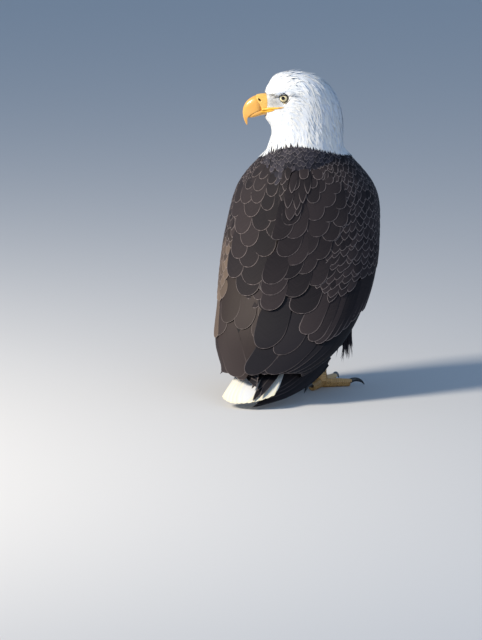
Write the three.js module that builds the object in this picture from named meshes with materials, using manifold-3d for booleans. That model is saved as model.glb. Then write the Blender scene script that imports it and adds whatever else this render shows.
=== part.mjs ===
// A bald eagle, life size, standing upright and looking back over its left shoulder.
// Millimetres. +Z is up, the body faces -Y, and the bird's own left is +X.
// Working coordinates start on the floor between the feet; the finished group is then
// moved so that its origin is the middle of the footprint of the whole bird.
import * as THREE from "three";
import { mergeVertices } from "three/addons/utils/BufferGeometryUtils.js";
import Module from "manifold-3d";

const wasm = await Module();
wasm.setup();

// ---------------------------------------------------------------------------
// Driving dimensions
// ---------------------------------------------------------------------------

const GAP = 0.4; // clearance where two pieces meet
const FAIRING = 0.2; // edges that depart from a surface by less than this are left out
const LEFT = 1;
const RIGHT = -1;

const HEAD_TURN = THREE.MathUtils.degToRad(112); // the head's turn to the left, from straight ahead
const HEAD_PLACE = new THREE.Vector3(12, 5, 519); // the point of the head that its own sizes start from

// Spines run from the first point to the last. A girth is [half width, behind or above,
// before or below] at each point of the spine.
const TRUNK = {
  spine: [
    [0, -14, 450], [0, -16, 400], [0, -10, 345], [0, 0, 290],
    [0, 14, 235], [0, 34, 190], [0, 60, 157], [0, 90, 134],
  ],
  girth: [
    [50, 46, 48], [80, 58, 76], [101, 67, 95], [108, 73, 100],
    [104, 70, 92], [86, 58, 74], [60, 38, 50], [34, 18, 24],
  ],
};

// Head and bill in the head's own frame: [ahead, side, up] from HEAD_PLACE. The neck's base
// and the crown are one tall shape, so that the throat and the nape run on unbroken.
const HOOD = {
  spine: [
    [-18, 0, -130], [-20, 0, -104], [-22, 0, -80], [-25, 0, -60], [-26, 0, -42], [-26, 0, -24],
    [-26, 0, -6], [-26, 0, 12], [-24, 0, 28], [-19, 0, 42], [-8, 0, 53], [1, 0, 62],
  ],
  girth: [
    [54, 66, 66], [63, 71, 71], [62, 69, 70], [56, 66, 66], [51, 64, 64], [48.5, 64, 78],
    [47.5, 61, 79], [46, 55, 79.5], [43, 48, 78.5], [38, 41, 67], [30, 34, 46], [20, 21, 26],
  ],
};
const THROAT = -47; // the level that parts head from neck
const BROW = {
  spine: [[47, 18, 18], [32, 29, 23], [14, 37, 25], [-8, 41, 22]],
  girth: [[3.5, 3.5, 3.5], [5, 5, 4], [5, 5, 4], [3, 3, 3]],
};
const UPPER_BILL = {
  spine: [
    [43, 0, 5], [56, 0, 5], [65.5, 0, 3], [74, 0, -1],
    [80.5, 0, -8], [84.6, 0, -17], [85.8, 0, -27], [83.6, 0, -38],
  ],
  girth: [
    [15.5, 16, 13], [15, 16, 15], [13, 16, 17], [11, 15, 16],
    [8.5, 12, 11], [6, 8, 5.4], [3.6, 4.4, 3.4], [0.6, 0.6, 0.6],
  ],
};
const LOWER_BILL = {
  spine: [[42, 0, -13], [54, 0, -14], [66, 0, -17], [76, 0, -19.5], [81.5, 0, -21]],
  girth: [[13, 6, 5], [12, 6, 5], [9.5, 5, 4.6], [6, 3.5, 3], [1.5, 1, 1]],
};
const GAPE = {
  spine: [[54, 15.5, -7], [36, 27, -4.5], [15, 36.5, -1]],
  girth: [[2.6, 2.8, 2.8], [2.6, 2.4, 2.4], [1.2, 1.2, 1.2]],
};
const CERE_FRONT = 65; // where the cere gives way to horn, on the bill's ridge
const CERE_LEAN = THREE.MathUtils.degToRad(22); // its front edge runs back towards the gape
const EYE_RADIUS = 11;
const EYE_PLACE = [16.4, 25.6, 16.5];
const SOCKET_RADIUS = 12.5;
const SOCKET_OUT = 17.5; // how far outside the eye's centre the socket's sphere is centred

// Folded wings: three rails each from the shoulder to the tips, for a wing on the left. The
// inner rail runs beside the spine, the middle one down the side and the outer one down the
// leading edge.
const WING = {
  inner: [
    [8, 36, 440], [6, 84, 376], [4, 102, 304], [4, 118, 236],
    [4, 142, 172], [6, 178, 114], [10, 246, 60],
  ],
  middle: [
    [48, -8, 454], [118, 2, 374], [137, 16, 300], [140, 40, 232],
    [128, 86, 160], [106, 148, 102], [58, 232, 54],
  ],
  outer: [
    [66, -60, 412], [110, -90, 340], [112, -72, 252], [107, -30, 172],
    [98, 34, 100], [84, 126, 56], [52, 224, 34],
  ],
};
const LEFT_WING_END = { middle: [46, 230, 58], outer: [75, 220, 52] }; // higher, on the tail
const SHOULDER_LIFT = 12; // how much higher the right shoulder is held
const WING_CROSSING = 34; // how far the right wing's inner feathers reach over the left wing
const CROSSING_RISE = 15; // and how far apart the two wings lie there
const COVERTS_END = 0.6; // share of the wing's length that coverts hide
const COVERTS_DEPTH = 38;
const COVERTS_EDGE = 8;
const SECONDARIES = { count: 8, from: 0.52, innerReach: 0.98, outerReach: { left: 1, right: 0.9 } };

// The primaries come out from under the secondaries. The left ones cross the tail; the right
// ones run down beside it to the floor.
const PRIMARIES = {
  left: {
    inner: [[80, 84, 136], [42, 150, 110], [2, 205, 78], [-46, 256, 47]],
    outer: [[98, 62, 100], [74, 142, 80], [26, 212, 56], [-30, 276, 35]],
  },
  right: {
    inner: [[96, 66, 130], [68, 140, 96], [30, 212, 42], [-4, 280, 6]],
    outer: [[101, 34, 92], [88, 120, 46], [60, 208, 18], [8, 294, 1.5]],
  },
};
const PRIMARY_COUNT = 5;
const VANE = 1.8; // thickness of a flight feather's blade
const VANE_STEP = 1.6; // how far each feather stands on the next

const TAIL = {
  root: [0, 84, 142],
  bend: [0, 175, 72],
  tip: [2, 282, 9],
  rootHalf: 22,
  tipHalf: 52,
  feathers: 12,
  arch: 9, // how far the fan's sides droop at the root
  roll: 0.1, // the fan's slope across, down to the left
  roundness: 0.13, // how much shorter the outermost feathers are
};
const TAIL_COVERTS = {
  spine: [[0, 74, 158], [0, 106, 134], [0, 142, 108], [0, 184, 82]],
  girth: [[46, 30, 30], [42, 20, 26], [36, 11, 17], [26, 4, 5]],
};

const FOOT_SPACING = 40; // from the body's midline to the middle of a foot
const THIGH = {
  spine: [[52, -6, 236], [60, -16, 184], [63, -20, 138], [62, -20, 102], [60, -20, 74]],
  girth: [[44, 48, 46], [42, 50, 46], [36, 44, 42], [27, 34, 34], [13, 18, 18]],
};
const TARSUS = {
  spine: [[0, 0, 9], [1, 1, 30], [8, 5, 60], [14, 8, 100]],
  girth: [[14, 16, 16], [10.5, 10, 10], [10, 10, 10], [13, 13, 13]],
};
// Toes: direction in degrees from straight ahead, outwards; length; thickness; claw length.
const TOES = {
  middle: { turn: -2, length: 76, thick: 8.4, claw: 28 },
  outer: { turn: 52, length: 58, thick: 8.0, claw: 27 },
  inner: { turn: -23, length: 54, thick: 8.8, claw: 32 },
  hind: { turn: 180, length: 44, thick: 8.8, claw: 36 },
};

// ---------------------------------------------------------------------------
// Materials
// ---------------------------------------------------------------------------

const finish = (color, roughness) => new THREE.MeshStandardMaterial({ color, roughness, metalness: 0 });
const brownFeather = finish(0x2a2422, 0.7);
const flightFeather = finish(0x221e1f, 0.6);
const whiteFeather = finish(0xf0efe9, 0.75);
const billHorn = finish(0xe3a02c, 0.4);
const legSkin = finish(0xc9903a, 0.6);
const clawHorn = finish(0x15151a, 0.3);
const eyeball = finish(0xd8cf8c, 0.1);

// ---------------------------------------------------------------------------
// Solids
// ---------------------------------------------------------------------------

const vectors = (points) => points.map((point) => new THREE.Vector3(...point));

function solidOf(geometry) {
  const bare = geometry.clone();
  bare.deleteAttribute("normal");
  bare.deleteAttribute("uv");
  const merged = mergeVertices(bare, 1e-4);
  const vertProperties = merged.attributes.position.array;
  const triVerts = new Uint32Array(merged.index.array);
  const solid = new wasm.Manifold(new wasm.Mesh({ numProp: 3, vertProperties, triVerts }));
  if (solid.volume() > 0) return solid;
  for (let i = 0; i < triVerts.length; i += 3) {
    [triVerts[i + 1], triVerts[i + 2]] = [triVerts[i + 2], triVerts[i + 1]];
  }
  return new wasm.Manifold(new wasm.Mesh({ numProp: 3, vertProperties, triVerts }));
}

function geometryOf(solid) {
  const mesh = solid.getMesh();
  return new THREE.BufferGeometry()
    .setAttribute("position", new THREE.BufferAttribute(new Float32Array(mesh.vertProperties), 3))
    .setIndex(new THREE.BufferAttribute(new Uint32Array(mesh.triVerts), 1));
}

// The largest body of a solid that a cut has left in more than one.
function mainBody(solid) {
  return solid.decompose().reduce((best, body) => (body.volume() > best.volume() ? body : best));
}

const cutBy = (solid, ...tools) => mainBody(tools.reduce((rest, tool) => rest.subtract(tool), solid));
const joined = (first, ...others) => others.reduce((sum, solid) => sum.add(solid), first);

// Where along a spine the rings stand, and how far each is drawn in, with domed ends.
function ringStops(rings, dome, domeRings) {
  const stops = [];
  for (let i = 0; i <= domeRings; i++) {
    const angle = (i / domeRings) * (Math.PI / 2);
    stops.push({ t: dome * (1 - Math.cos(angle)), shrink: Math.sin(angle), end: -Math.cos(angle) });
  }
  for (let i = 1; i < rings; i++) {
    stops.push({ t: dome + (1 - 2 * dome) * (i / rings), shrink: 1, end: 0 });
  }
  for (let i = domeRings; i >= 0; i--) {
    const angle = (i / domeRings) * (Math.PI / 2);
    stops.push({ t: 1 - dome * (1 - Math.cos(angle)), shrink: Math.sin(angle), end: Math.cos(angle) });
  }
  return stops;
}

// A rounded body of oval rings along a spine. Each ring's width lies along the vector side.
// The rings stand square to the spine, or square to axis where one is given.
function body(shape) {
  const { spine, girth, side = [1, 0, 0], axis, matrix, grow = 0 } = shape;
  const { rings = 8, sides = 14, dome = 0.06, domeRings = 2 } = shape;
  const line = new THREE.CatmullRomCurve3(vectors(spine));
  const sizes = new THREE.CatmullRomCurve3(vectors(girth), false, "catmullrom");
  const across = new THREE.Vector3(...side);
  const stops = ringStops(rings, dome, domeRings);
  const points = [];
  let upward = new THREE.Vector3(0, 0.5, 1);
  for (const { t, shrink, end } of stops) {
    const tangent = axis ? new THREE.Vector3(...axis) : line.getTangent(t).normalize();
    const width = across.clone().addScaledVector(tangent, -across.dot(tangent)).normalize();
    const above = new THREE.Vector3().crossVectors(tangent, width);
    if (above.dot(upward) < 0) above.negate();
    upward = above;
    const centre = line.getPoint(t).addScaledVector(tangent, end * grow);
    const size = sizes.getPoint(t);
    const isPole = shrink < 1e-6;
    for (let i = 0; i < (isPole ? 1 : sides); i++) {
      const angle = (i / sides) * 2 * Math.PI;
      const height = Math.sin(angle) >= 0 ? size.y : size.z;
      points.push(
        centre
          .clone()
          .addScaledVector(width, Math.cos(angle) * (size.x + grow) * shrink)
          .addScaledVector(above, Math.sin(angle) * (height + grow) * shrink),
      );
    }
  }
  const last = points.length - 1;
  const ringCount = stops.length - 2;
  const index = [];
  const at = (ring, i) => 1 + ring * sides + (i % sides);
  for (let i = 0; i < sides; i++) {
    index.push(0, at(0, i + 1), at(0, i));
    index.push(last, at(ringCount - 1, i), at(ringCount - 1, i + 1));
    for (let ring = 0; ring < ringCount - 1; ring++) {
      index.push(at(ring, i), at(ring, i + 1), at(ring + 1, i));
      index.push(at(ring, i + 1), at(ring + 1, i + 1), at(ring + 1, i));
    }
  }
  if (matrix) points.forEach((point) => point.applyMatrix4(matrix));
  return solidOf(new THREE.BufferGeometry().setFromPoints(points).setIndex(index));
}

// A closed plate from two grids of points, outer[column][row] and inner[column][row].
function plate(outer, inner) {
  const columns = outer.length;
  const rows = outer[0].length;
  const points = [...outer.flat(), ...inner.flat()];
  const index = [];
  const top = (c, r) => c * rows + r;
  const under = (c, r) => columns * rows + c * rows + r;
  const quad = (a, b, c, d) => index.push(a, b, c, a, c, d);
  for (let c = 0; c < columns - 1; c++) {
    for (let r = 0; r < rows - 1; r++) {
      quad(top(c, r), top(c + 1, r), top(c + 1, r + 1), top(c, r + 1));
      quad(under(c, r), under(c, r + 1), under(c + 1, r + 1), under(c + 1, r));
    }
    quad(top(c, 0), under(c, 0), under(c + 1, 0), top(c + 1, 0));
    quad(top(c, rows - 1), top(c + 1, rows - 1), under(c + 1, rows - 1), under(c, rows - 1));
  }
  for (let r = 0; r < rows - 1; r++) {
    quad(top(0, r), top(0, r + 1), under(0, r + 1), under(0, r));
    const c = columns - 1;
    quad(top(c, r), under(c, r), under(c, r + 1), top(c, r + 1));
  }
  return solidOf(new THREE.BufferGeometry().setFromPoints(points).setIndex(index));
}

// A place on a surface, pushed out by grow from the plate's rims. edgeU and edgeV are -1 or 1
// at the first and last of the rows and columns, and 0 between.
function rimPoint({ point, along, over }, edgeU, edgeV, grow) {
  return point.clone().addScaledVector(along, edgeU * grow).addScaledVector(over, edgeV * grow);
}
const edgeOf = (i, last) => (i === 0 ? -1 : i === last ? 1 : 0);

// A plate under a surface, depth(u, v) thick. surface(u, v) gives a place and its directions.
function shell({ surface, uRange, rows, columns, depth, grow = 0 }) {
  const outer = [];
  const inner = [];
  for (let c = 0; c <= columns; c++) {
    const v = c / columns;
    const near = [];
    const far = [];
    for (let r = 0; r <= rows; r++) {
      const u = THREE.MathUtils.lerp(...uRange, r / rows);
      const frame = surface(u, v);
      const rim = rimPoint(frame, edgeOf(r, rows), edgeOf(c, columns), grow);
      near.push(rim.clone().addScaledVector(frame.normal, grow));
      far.push(rim.addScaledVector(frame.normal, -depth(u, v) - grow));
    }
    outer.push(near);
    inner.push(far);
  }
  return plate(outer, inner);
}

// Overlapping flight feathers as one stepped plate. reach(k) gives feather k's last u,
// and each feather's edge nearer v = 0 lies on top of the one before it. Grown, the plate
// is a plain cover that clears every step and every rounded tip.
function featherFan({ surface, count, vRange, from, reach, tip, sink = 0, rows = 4, grow = 0 }) {
  const columnsEach = grow ? 1 : 2;
  const lastColumn = count * (columnsEach + 1) - 1;
  const outer = [];
  const inner = [];
  for (let k = 0; k < count; k++) {
    for (let c = 0; c <= columnsEach; c++) {
      const across = c / columnsEach;
      const v = THREE.MathUtils.lerp(...vRange, (k + across) / count);
      const end = reach(k) - (grow ? 0 : tip * (2 * across - 1) ** 2);
      const raised = VANE_STEP * (grow ? 1 : 1 - across);
      const near = [];
      const far = [];
      for (let r = 0; r <= rows; r++) {
        const frame = surface(THREE.MathUtils.lerp(from, end, r / rows), v);
        const rim = rimPoint(frame, edgeOf(r, rows), edgeOf(outer.length, lastColumn), grow);
        near.push(rim.clone().addScaledVector(frame.normal, raised - sink + grow));
        far.push(rim.addScaledVector(frame.normal, -VANE - sink - grow));
      }
      outer.push(near);
      inner.push(far);
    }
  }
  return plate(outer, inner);
}

const nodes = new THREE.Group();

function addNode(name, solid, material) {
  const mesh = new THREE.Mesh(geometryOf(solid.simplify(FAIRING)), material);
  mesh.name = name;
  nodes.add(mesh);
}

const sideName = (side) => (side === LEFT ? "left" : "right");
const mirrored = (points, side) => points.map(([x, ...rest]) => [x * side, ...rest]);

// ---------------------------------------------------------------------------
// Floor: whatever stands on it is cut to a flat
// ---------------------------------------------------------------------------

function slabBelowFloor() {
  const size = 1200;
  return solidOf(new THREE.BoxGeometry(size, size, size).toNonIndexed().translate(0, 0, -size / 2));
}
const floor = slabBelowFloor();

// ---------------------------------------------------------------------------
// Trunk
// ---------------------------------------------------------------------------

const trunkShape = (grow) => body({ ...TRUNK, rings: 9, sides: 16, dome: 0.05, grow });
const trunk = trunkShape(0);
const aroundTrunk = trunkShape(GAP);
addNode("trunk", trunk, brownFeather);

// ---------------------------------------------------------------------------
// Head, bill and eyes, in the head's frame, then turned and set on the neck
// ---------------------------------------------------------------------------

const headMatrix = new THREE.Matrix4()
  .makeTranslation(HEAD_PLACE.x, HEAD_PLACE.y, HEAD_PLACE.z)
  .multiply(new THREE.Matrix4().makeRotationZ(HEAD_TURN));

// [ahead, side, up] as a point of the head's frame, which faces -Y before it is turned.
const headPoints = (points, side = LEFT) => points.map(([ahead, out, up]) => [out * side, -ahead, up]);

function headBody(shape, options = {}) {
  const { side = LEFT, ...rest } = options;
  return body({ ...rest, girth: shape.girth, spine: headPoints(shape.spine, side), matrix: headMatrix });
}

function eyeSphere(side, radius, out) {
  const [ahead, sideways, up] = EYE_PLACE;
  const ball = new THREE.SphereGeometry(radius, 12, 8);
  ball.translate((sideways + out) * side, -ahead, up).applyMatrix4(headMatrix);
  return solidOf(ball);
}

// Everything behind the plane where the cere ends, as a slab in the head's frame.
function slabBehindCere(grow) {
  const size = 200;
  const slab = new THREE.BoxGeometry(size, size, size);
  const ridge = UPPER_BILL.girth[2][1];
  slab.translate(0, size / 2 - grow, 0).rotateX(-CERE_LEAN).translate(0, -CERE_FRONT, ridge);
  return solidOf(slab.applyMatrix4(headMatrix));
}

const billRings = { rings: 8, sides: 10, dome: 0.03 };
const upperBill = headBody(UPPER_BILL, billRings);
const aroundUpperBill = headBody(UPPER_BILL, { ...billRings, grow: GAP });
const lowerBill = cutBy(headBody(LOWER_BILL, { ...billRings, rings: 5 }), aroundUpperBill);
const aroundLowerBill = headBody(LOWER_BILL, { ...billRings, rings: 5, grow: GAP });
addNode("cere", mainBody(upperBill.intersect(slabBehindCere(0))), billHorn);
addNode("bill_upper", cutBy(upperBill, slabBehindCere(GAP)), billHorn);
addNode("bill_lower", lowerBill, billHorn);

// Everything above the throat's level, as a slab in the world.
function slabAboveThroat() {
  const size = 400;
  const slab = new THREE.BoxGeometry(size, size, size);
  return solidOf(slab.translate(HEAD_PLACE.x, HEAD_PLACE.y, HEAD_PLACE.z + THROAT + size / 2));
}

const hoodShape = (grow) =>
  headBody(HOOD, { axis: [0, 0, 1], rings: 11, sides: 16, dome: 0.08, domeRings: 3, grow });
let head = hoodShape(0).intersect(slabAboveThroat());
for (const side of [LEFT, RIGHT]) {
  head = joined(head, headBody(BROW, { side, rings: 3, sides: 6, dome: 0.12 }));
}
head = cutBy(head, aroundUpperBill, aroundLowerBill);
for (const side of [LEFT, RIGHT]) {
  const gapeRings = { side, rings: 3, sides: 6, dome: 0.1 };
  const gape = cutBy(headBody(GAPE, gapeRings), aroundUpperBill, aroundLowerBill);
  addNode("gape_" + sideName(side), gape, billHorn);
  addNode("eye_" + sideName(side), eyeSphere(side, EYE_RADIUS, 0), eyeball);
  head = cutBy(
    head,
    headBody(GAPE, { ...gapeRings, grow: GAP }),
    eyeSphere(side, SOCKET_RADIUS, SOCKET_OUT),
    eyeSphere(side, EYE_RADIUS + GAP, 0),
  );
}
addNode("head", head, whiteFeather);

const neck = cutBy(hoodShape(0), slabAboveThroat().translate([0, 0, -GAP]), aroundTrunk);
const aroundNeck = hoodShape(GAP);
addNode("neck", neck, whiteFeather);

// ---------------------------------------------------------------------------
// Tail: twelve feathers as a fan, and the coverts round its root
// ---------------------------------------------------------------------------

const tailLine = new THREE.QuadraticBezierCurve3(...vectors([TAIL.root, TAIL.bend, TAIL.tip]));

function tailSurface(u, v) {
  const across = 2 * v - 1;
  const tangent = tailLine.getTangent(u);
  const normal = new THREE.Vector3(0, -tangent.z, tangent.y);
  const half = THREE.MathUtils.lerp(TAIL.rootHalf, TAIL.tipHalf, u ** 0.8);
  const drop = TAIL.arch * (1 - 0.55 * u) * across ** 2;
  const point = tailLine.getPoint(u).addScaledVector(normal, -drop);
  point.x += half * across;
  point.z -= TAIL.roll * u * half * across;
  return { point, normal, along: tangent, over: new THREE.Vector3(1, 0, 0) };
}

function tailFan(grow) {
  const middle = (TAIL.feathers - 1) / 2;
  const reach = (k) => 1 - TAIL.roundness * ((k - middle) / middle) ** 2;
  return featherFan({
    surface: tailSurface, count: TAIL.feathers, vRange: [0, 1], from: 0.06,
    reach, tip: 0.035, rows: 3, grow,
  });
}

const tail = cutBy(tailFan(0), aroundTrunk, floor);
const aroundTail = tailFan(GAP);
addNode("tail", tail, whiteFeather);
const tailCovertsBody = body({ ...TAIL_COVERTS, rings: 3, sides: 10, dome: 0.1 });
const tailCoverts = cutBy(tailCovertsBody, aroundTrunk, aroundTail);
addNode("tail_coverts", tailCoverts, whiteFeather);

// ---------------------------------------------------------------------------
// Wings
// ---------------------------------------------------------------------------

// The right wing's inner feathers cross the spine, over the left wing.
function wingRails(side) {
  const rails = structuredClone(WING);
  rails.inner.forEach((point, i) => {
    point[1] -= (side * CROSSING_RISE * THREE.MathUtils.smoothstep(i, 1, 3)) / 2;
    if (side === RIGHT) point[0] -= WING_CROSSING * THREE.MathUtils.smoothstep(i, 1.5, 4);
  });
  if (side === LEFT) {
    rails.middle[6] = LEFT_WING_END.middle;
    rails.outer[6] = LEFT_WING_END.outer;
  } else {
    for (const rail of [rails.middle, rails.outer]) {
      rail.forEach((point, i) => (point[2] += SHOULDER_LIFT * Math.max(0, 1 - i / 3)));
    }
  }
  return Object.values(rails);
}

const curveOf = (rail, side) => new THREE.CatmullRomCurve3(vectors(mirrored(rail, side)));

// Two rails make a flat sheet; three make one that is curved across.
function sheetSurface(rails, side) {
  const curves = rails.map((rail) => curveOf(rail, side));
  const sharesOf = (v) =>
    curves.length === 2 ? [1 - v, v] : [(2 * v - 1) * (v - 1), 4 * v * (1 - v), v * (2 * v - 1)];
  const place = (u, v) => {
    const shares = sharesOf(v);
    const point = new THREE.Vector3();
    curves.forEach((curve, i) => point.addScaledVector(curve.getPoint(u), shares[i]));
    return point;
  };
  return (u, v) => {
    const step = 0.01;
    const along = place(Math.min(u + step, 1), v).sub(place(Math.max(u - step, 0), v));
    const over = place(u, Math.min(v + step, 1)).sub(place(u, Math.max(v - step, 0)));
    const normal = along.clone().cross(over).multiplyScalar(-side).normalize();
    return { point: place(u, v), normal, along: along.normalize(), over: over.normalize() };
  };
}

// Coverts and scapulars: thick at the shoulder, thin where the flight feathers come out.
function covertsDepth(u, v) {
  const edge = Math.sin(Math.PI * THREE.MathUtils.clamp(v, 0.06, 0.94)) ** 0.5;
  return THREE.MathUtils.lerp(COVERTS_DEPTH, COVERTS_EDGE, (u / COVERTS_END) ** 3) * edge;
}

function wingPieces(side, taken) {
  const surface = sheetSurface(wingRails(side), side);
  const handSurface = sheetSurface(Object.values(PRIMARIES[sideName(side)]), side);
  const coverts = (grow) =>
    shell({ surface, uRange: [0, COVERTS_END], rows: 7, columns: 7, depth: covertsDepth, grow });
  const { count, from, innerReach, outerReach } = SECONDARIES;
  const secondaries = (grow) =>
    featherFan({
      surface, count, vRange: [0.02, 0.98], from, tip: 0.035, sink: 4, rows: 3, grow,
      reach: (k) => THREE.MathUtils.lerp(innerReach, outerReach[sideName(side)], (k / (count - 1)) ** 1.5),
    });
  const primaries = (grow) =>
    featherFan({
      surface: handSurface, count: PRIMARY_COUNT, vRange: [0, 1], from: 0.1, tip: 0.03, rows: 4, grow,
      reach: (k) => 1 - 0.03 * (PRIMARY_COUNT - 1 - k),
    });
  const shoulder = cutBy(coverts(0), aroundTrunk, aroundNeck, ...taken);
  const behind = [aroundTrunk, aroundTail, tailCoverts];
  const inner = cutBy(secondaries(0), coverts(GAP), shoulder, ...behind, ...taken);
  const hand = cutBy(
    primaries(0), coverts(GAP), secondaries(GAP), shoulder, inner, ...behind, floor, ...taken,
  );
  const around = [coverts(GAP), secondaries(GAP), primaries(GAP), shoulder, inner, hand];
  return { shoulder, inner, hand, around };
}

const rightWing = wingPieces(RIGHT, []);
const leftWing = wingPieces(LEFT, rightWing.around);
for (const [side, wing] of [[LEFT, leftWing], [RIGHT, rightWing]]) {
  addNode("wing_" + sideName(side), wing.shoulder, brownFeather);
  addNode("secondaries_" + sideName(side), wing.inner, flightFeather);
  addNode("primaries_" + sideName(side), wing.hand, flightFeather);
}

// ---------------------------------------------------------------------------
// Legs
// ---------------------------------------------------------------------------

// A toe's spine starts in the ball of the foot and runs flat along the floor.
function toeShape({ turn, length, thick }, side, grow) {
  const angle = THREE.MathUtils.degToRad(turn) * side;
  const ahead = [Math.sin(angle), -Math.cos(angle)];
  const share = [0, 0.3, 0.55, 0.8, 1];
  const height = [1.25, 1.15, 0.95, 0.9, 0.85];
  const swell = [1.0, 0.9, 1.0, 0.85, 0.8];
  const spine = share.map((s, i) => [ahead[0] * s * length, ahead[1] * s * length, thick * height[i]]);
  const girth = swell.map((s, i) => [thick * s, thick * s, thick * height[i] + 1.5]);
  return body({ spine, girth, side: [-ahead[1], ahead[0], 0], rings: 4, sides: 8, dome: 0.07, grow });
}

// A claw leaves the toe's end, arches over and comes down to the floor.
function clawShape({ turn, length, thick, claw }, side) {
  const angle = THREE.MathUtils.degToRad(turn) * side;
  const ahead = [Math.sin(angle), -Math.cos(angle)];
  const outline = [[-0.12, thick * 1.0], [0.32, thick * 1.45], [0.72, thick * 1.15], [1, 1.2]];
  const reach = outline.map(([s]) => length + s * claw);
  const spine = outline.map(([, z], i) => [ahead[0] * reach[i], ahead[1] * reach[i], z]);
  const girth = [[4.4, 4.6, 4.6], [3.8, 4.2, 4.0], [2.6, 2.8, 2.8], [0.6, 0.6, 0.6]];
  return body({ spine, girth, side: [-ahead[1], ahead[0], 0], rings: 4, sides: 6, dome: 0.03 });
}

for (const side of [LEFT, RIGHT]) {
  const moveToFoot = (solid) => solid.translate([FOOT_SPACING * side, 0, 0]);
  const shank = { ...TARSUS, spine: mirrored(TARSUS.spine, side), rings: 4, sides: 10, dome: 0.08 };
  const tarsusBody = (grow) => moveToFoot(body({ ...shank, grow }));
  const tarsus = cutBy(tarsusBody(0), floor);
  addNode("tarsus_" + sideName(side), tarsus, legSkin);
  const thighBody = body({ ...THIGH, spine: mirrored(THIGH.spine, side), rings: 4, sides: 12, dome: 0.08 });
  const wing = side === LEFT ? leftWing : rightWing;
  const thigh = cutBy(thighBody, aroundTrunk, tarsusBody(GAP), ...wing.around);
  addNode("thigh_" + sideName(side), thigh, brownFeather);
  const aroundFoot = [tarsusBody(GAP)];
  for (const [toeName, toe] of Object.entries(TOES)) {
    const toeAt = (grow) => moveToFoot(toeShape(toe, side, grow));
    addNode(`toe_${toeName}_${sideName(side)}`, cutBy(toeAt(0), ...aroundFoot, floor), legSkin);
    const claw = cutBy(moveToFoot(clawShape(toe, side)), toeAt(GAP), floor);
    addNode(`claw_${toeName}_${sideName(side)}`, claw, clawHorn);
    aroundFoot.push(toeAt(GAP));
  }
}

// ---------------------------------------------------------------------------
// The origin: on the floor, under the middle of the whole bird
// ---------------------------------------------------------------------------

const extent = new THREE.Box3().setFromObject(nodes);
const middle = extent.getCenter(new THREE.Vector3());
nodes.position.set(-middle.x, -middle.y, -extent.min.z);

const eagle = new THREE.Group();
eagle.add(nodes);

export default eagle;
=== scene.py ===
# %% [markdown]
# # A bald eagle, looking back over its shoulder
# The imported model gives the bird's solid form: trunk, neck, head, wings, legs, bill and claws.
# This lesson dresses it: one skin over the flesh, then every visible feather as a thin vane of
# real mesh, then horn, eyes and scaly feet, each with a finish made from nodes.
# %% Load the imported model
import math

import bmesh
import bpy
import numpy as np
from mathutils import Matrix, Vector
from mathutils.bvhtree import BVHTree
from mathutils.kdtree import KDTree


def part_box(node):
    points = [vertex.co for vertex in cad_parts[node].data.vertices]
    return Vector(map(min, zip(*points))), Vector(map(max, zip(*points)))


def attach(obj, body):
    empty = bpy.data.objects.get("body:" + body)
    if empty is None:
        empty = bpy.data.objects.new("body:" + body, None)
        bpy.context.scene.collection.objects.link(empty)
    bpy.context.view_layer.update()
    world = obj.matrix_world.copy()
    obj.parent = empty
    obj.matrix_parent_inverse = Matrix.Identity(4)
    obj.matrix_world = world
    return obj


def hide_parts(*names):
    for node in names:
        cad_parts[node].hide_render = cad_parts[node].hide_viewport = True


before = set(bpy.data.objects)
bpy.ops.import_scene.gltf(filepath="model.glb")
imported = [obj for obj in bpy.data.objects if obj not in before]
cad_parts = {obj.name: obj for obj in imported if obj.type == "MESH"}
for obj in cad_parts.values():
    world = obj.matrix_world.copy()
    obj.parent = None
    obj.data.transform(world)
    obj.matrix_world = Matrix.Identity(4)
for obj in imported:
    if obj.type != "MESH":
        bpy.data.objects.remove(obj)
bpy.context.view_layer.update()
chance = np.random.default_rng(7)
print("packed nodes:", len(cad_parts))

# %% [markdown]
# ## Where the head and the feet are
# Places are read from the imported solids. The two eyes give the head's own directions: its side,
# and the way that it faces. Sizes below are in millimetres, either from the floor between the
# feet, or from a point inside the head as [ahead, side, up].
# %% The bird's own directions
MM = 0.001
UP = np.array((0.0, 0.0, 1.0))
LEFT, RIGHT = 1, -1
SIDES = {"left": LEFT, "right": RIGHT}
EYE_IN_HEAD = (16.4, 25.6, 16.5)
HEAD_FROM_FLOOR = np.array((12.0, 5.0, 519.0)) * MM


def unit(vectors):
    """Vectors made one metre long, one or many."""
    vectors = np.asarray(vectors, float)
    return vectors / np.maximum(np.linalg.norm(vectors, axis=-1, keepdims=True), 1e-12)


def ramp(values, start, end):
    """Smoothly from 0 at start to 1 at end."""
    t = np.clip((np.asarray(values, float) - start) / (end - start), 0, 1)
    return t * t * (3 - 2 * t)


eye_middle = {side: np.array(sum(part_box("eye_" + side), Vector()) / 2) for side in SIDES}
head_side = unit(eye_middle["left"] - eye_middle["right"])
head_ahead = np.cross(head_side, UP)
head_axes = np.array((head_ahead, head_side, UP))
between_eyes = (eye_middle["left"] + eye_middle["right"]) / 2
head_middle = between_eyes - (EYE_IN_HEAD[0] * head_ahead + EYE_IN_HEAD[2] * UP) * MM
floor_middle = head_middle - HEAD_FROM_FLOOR


def from_floor(points):
    """Places in millimetres from the floor between the feet, in the frame's metres."""
    return np.asarray(points, float) * MM + floor_middle


def from_head(points):
    """Places in the head, [ahead, side, up] in millimetres, in the frame's metres."""
    return np.asarray(points, float) * MM @ head_axes + head_middle


def in_head(points):
    """The other way round: the frame's metres as [ahead, side, up] in millimetres."""
    return (np.asarray(points, float) - head_middle) @ head_axes.T / MM


print("head stands at", head_middle.round(3), "facing", head_ahead.round(2))


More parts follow.
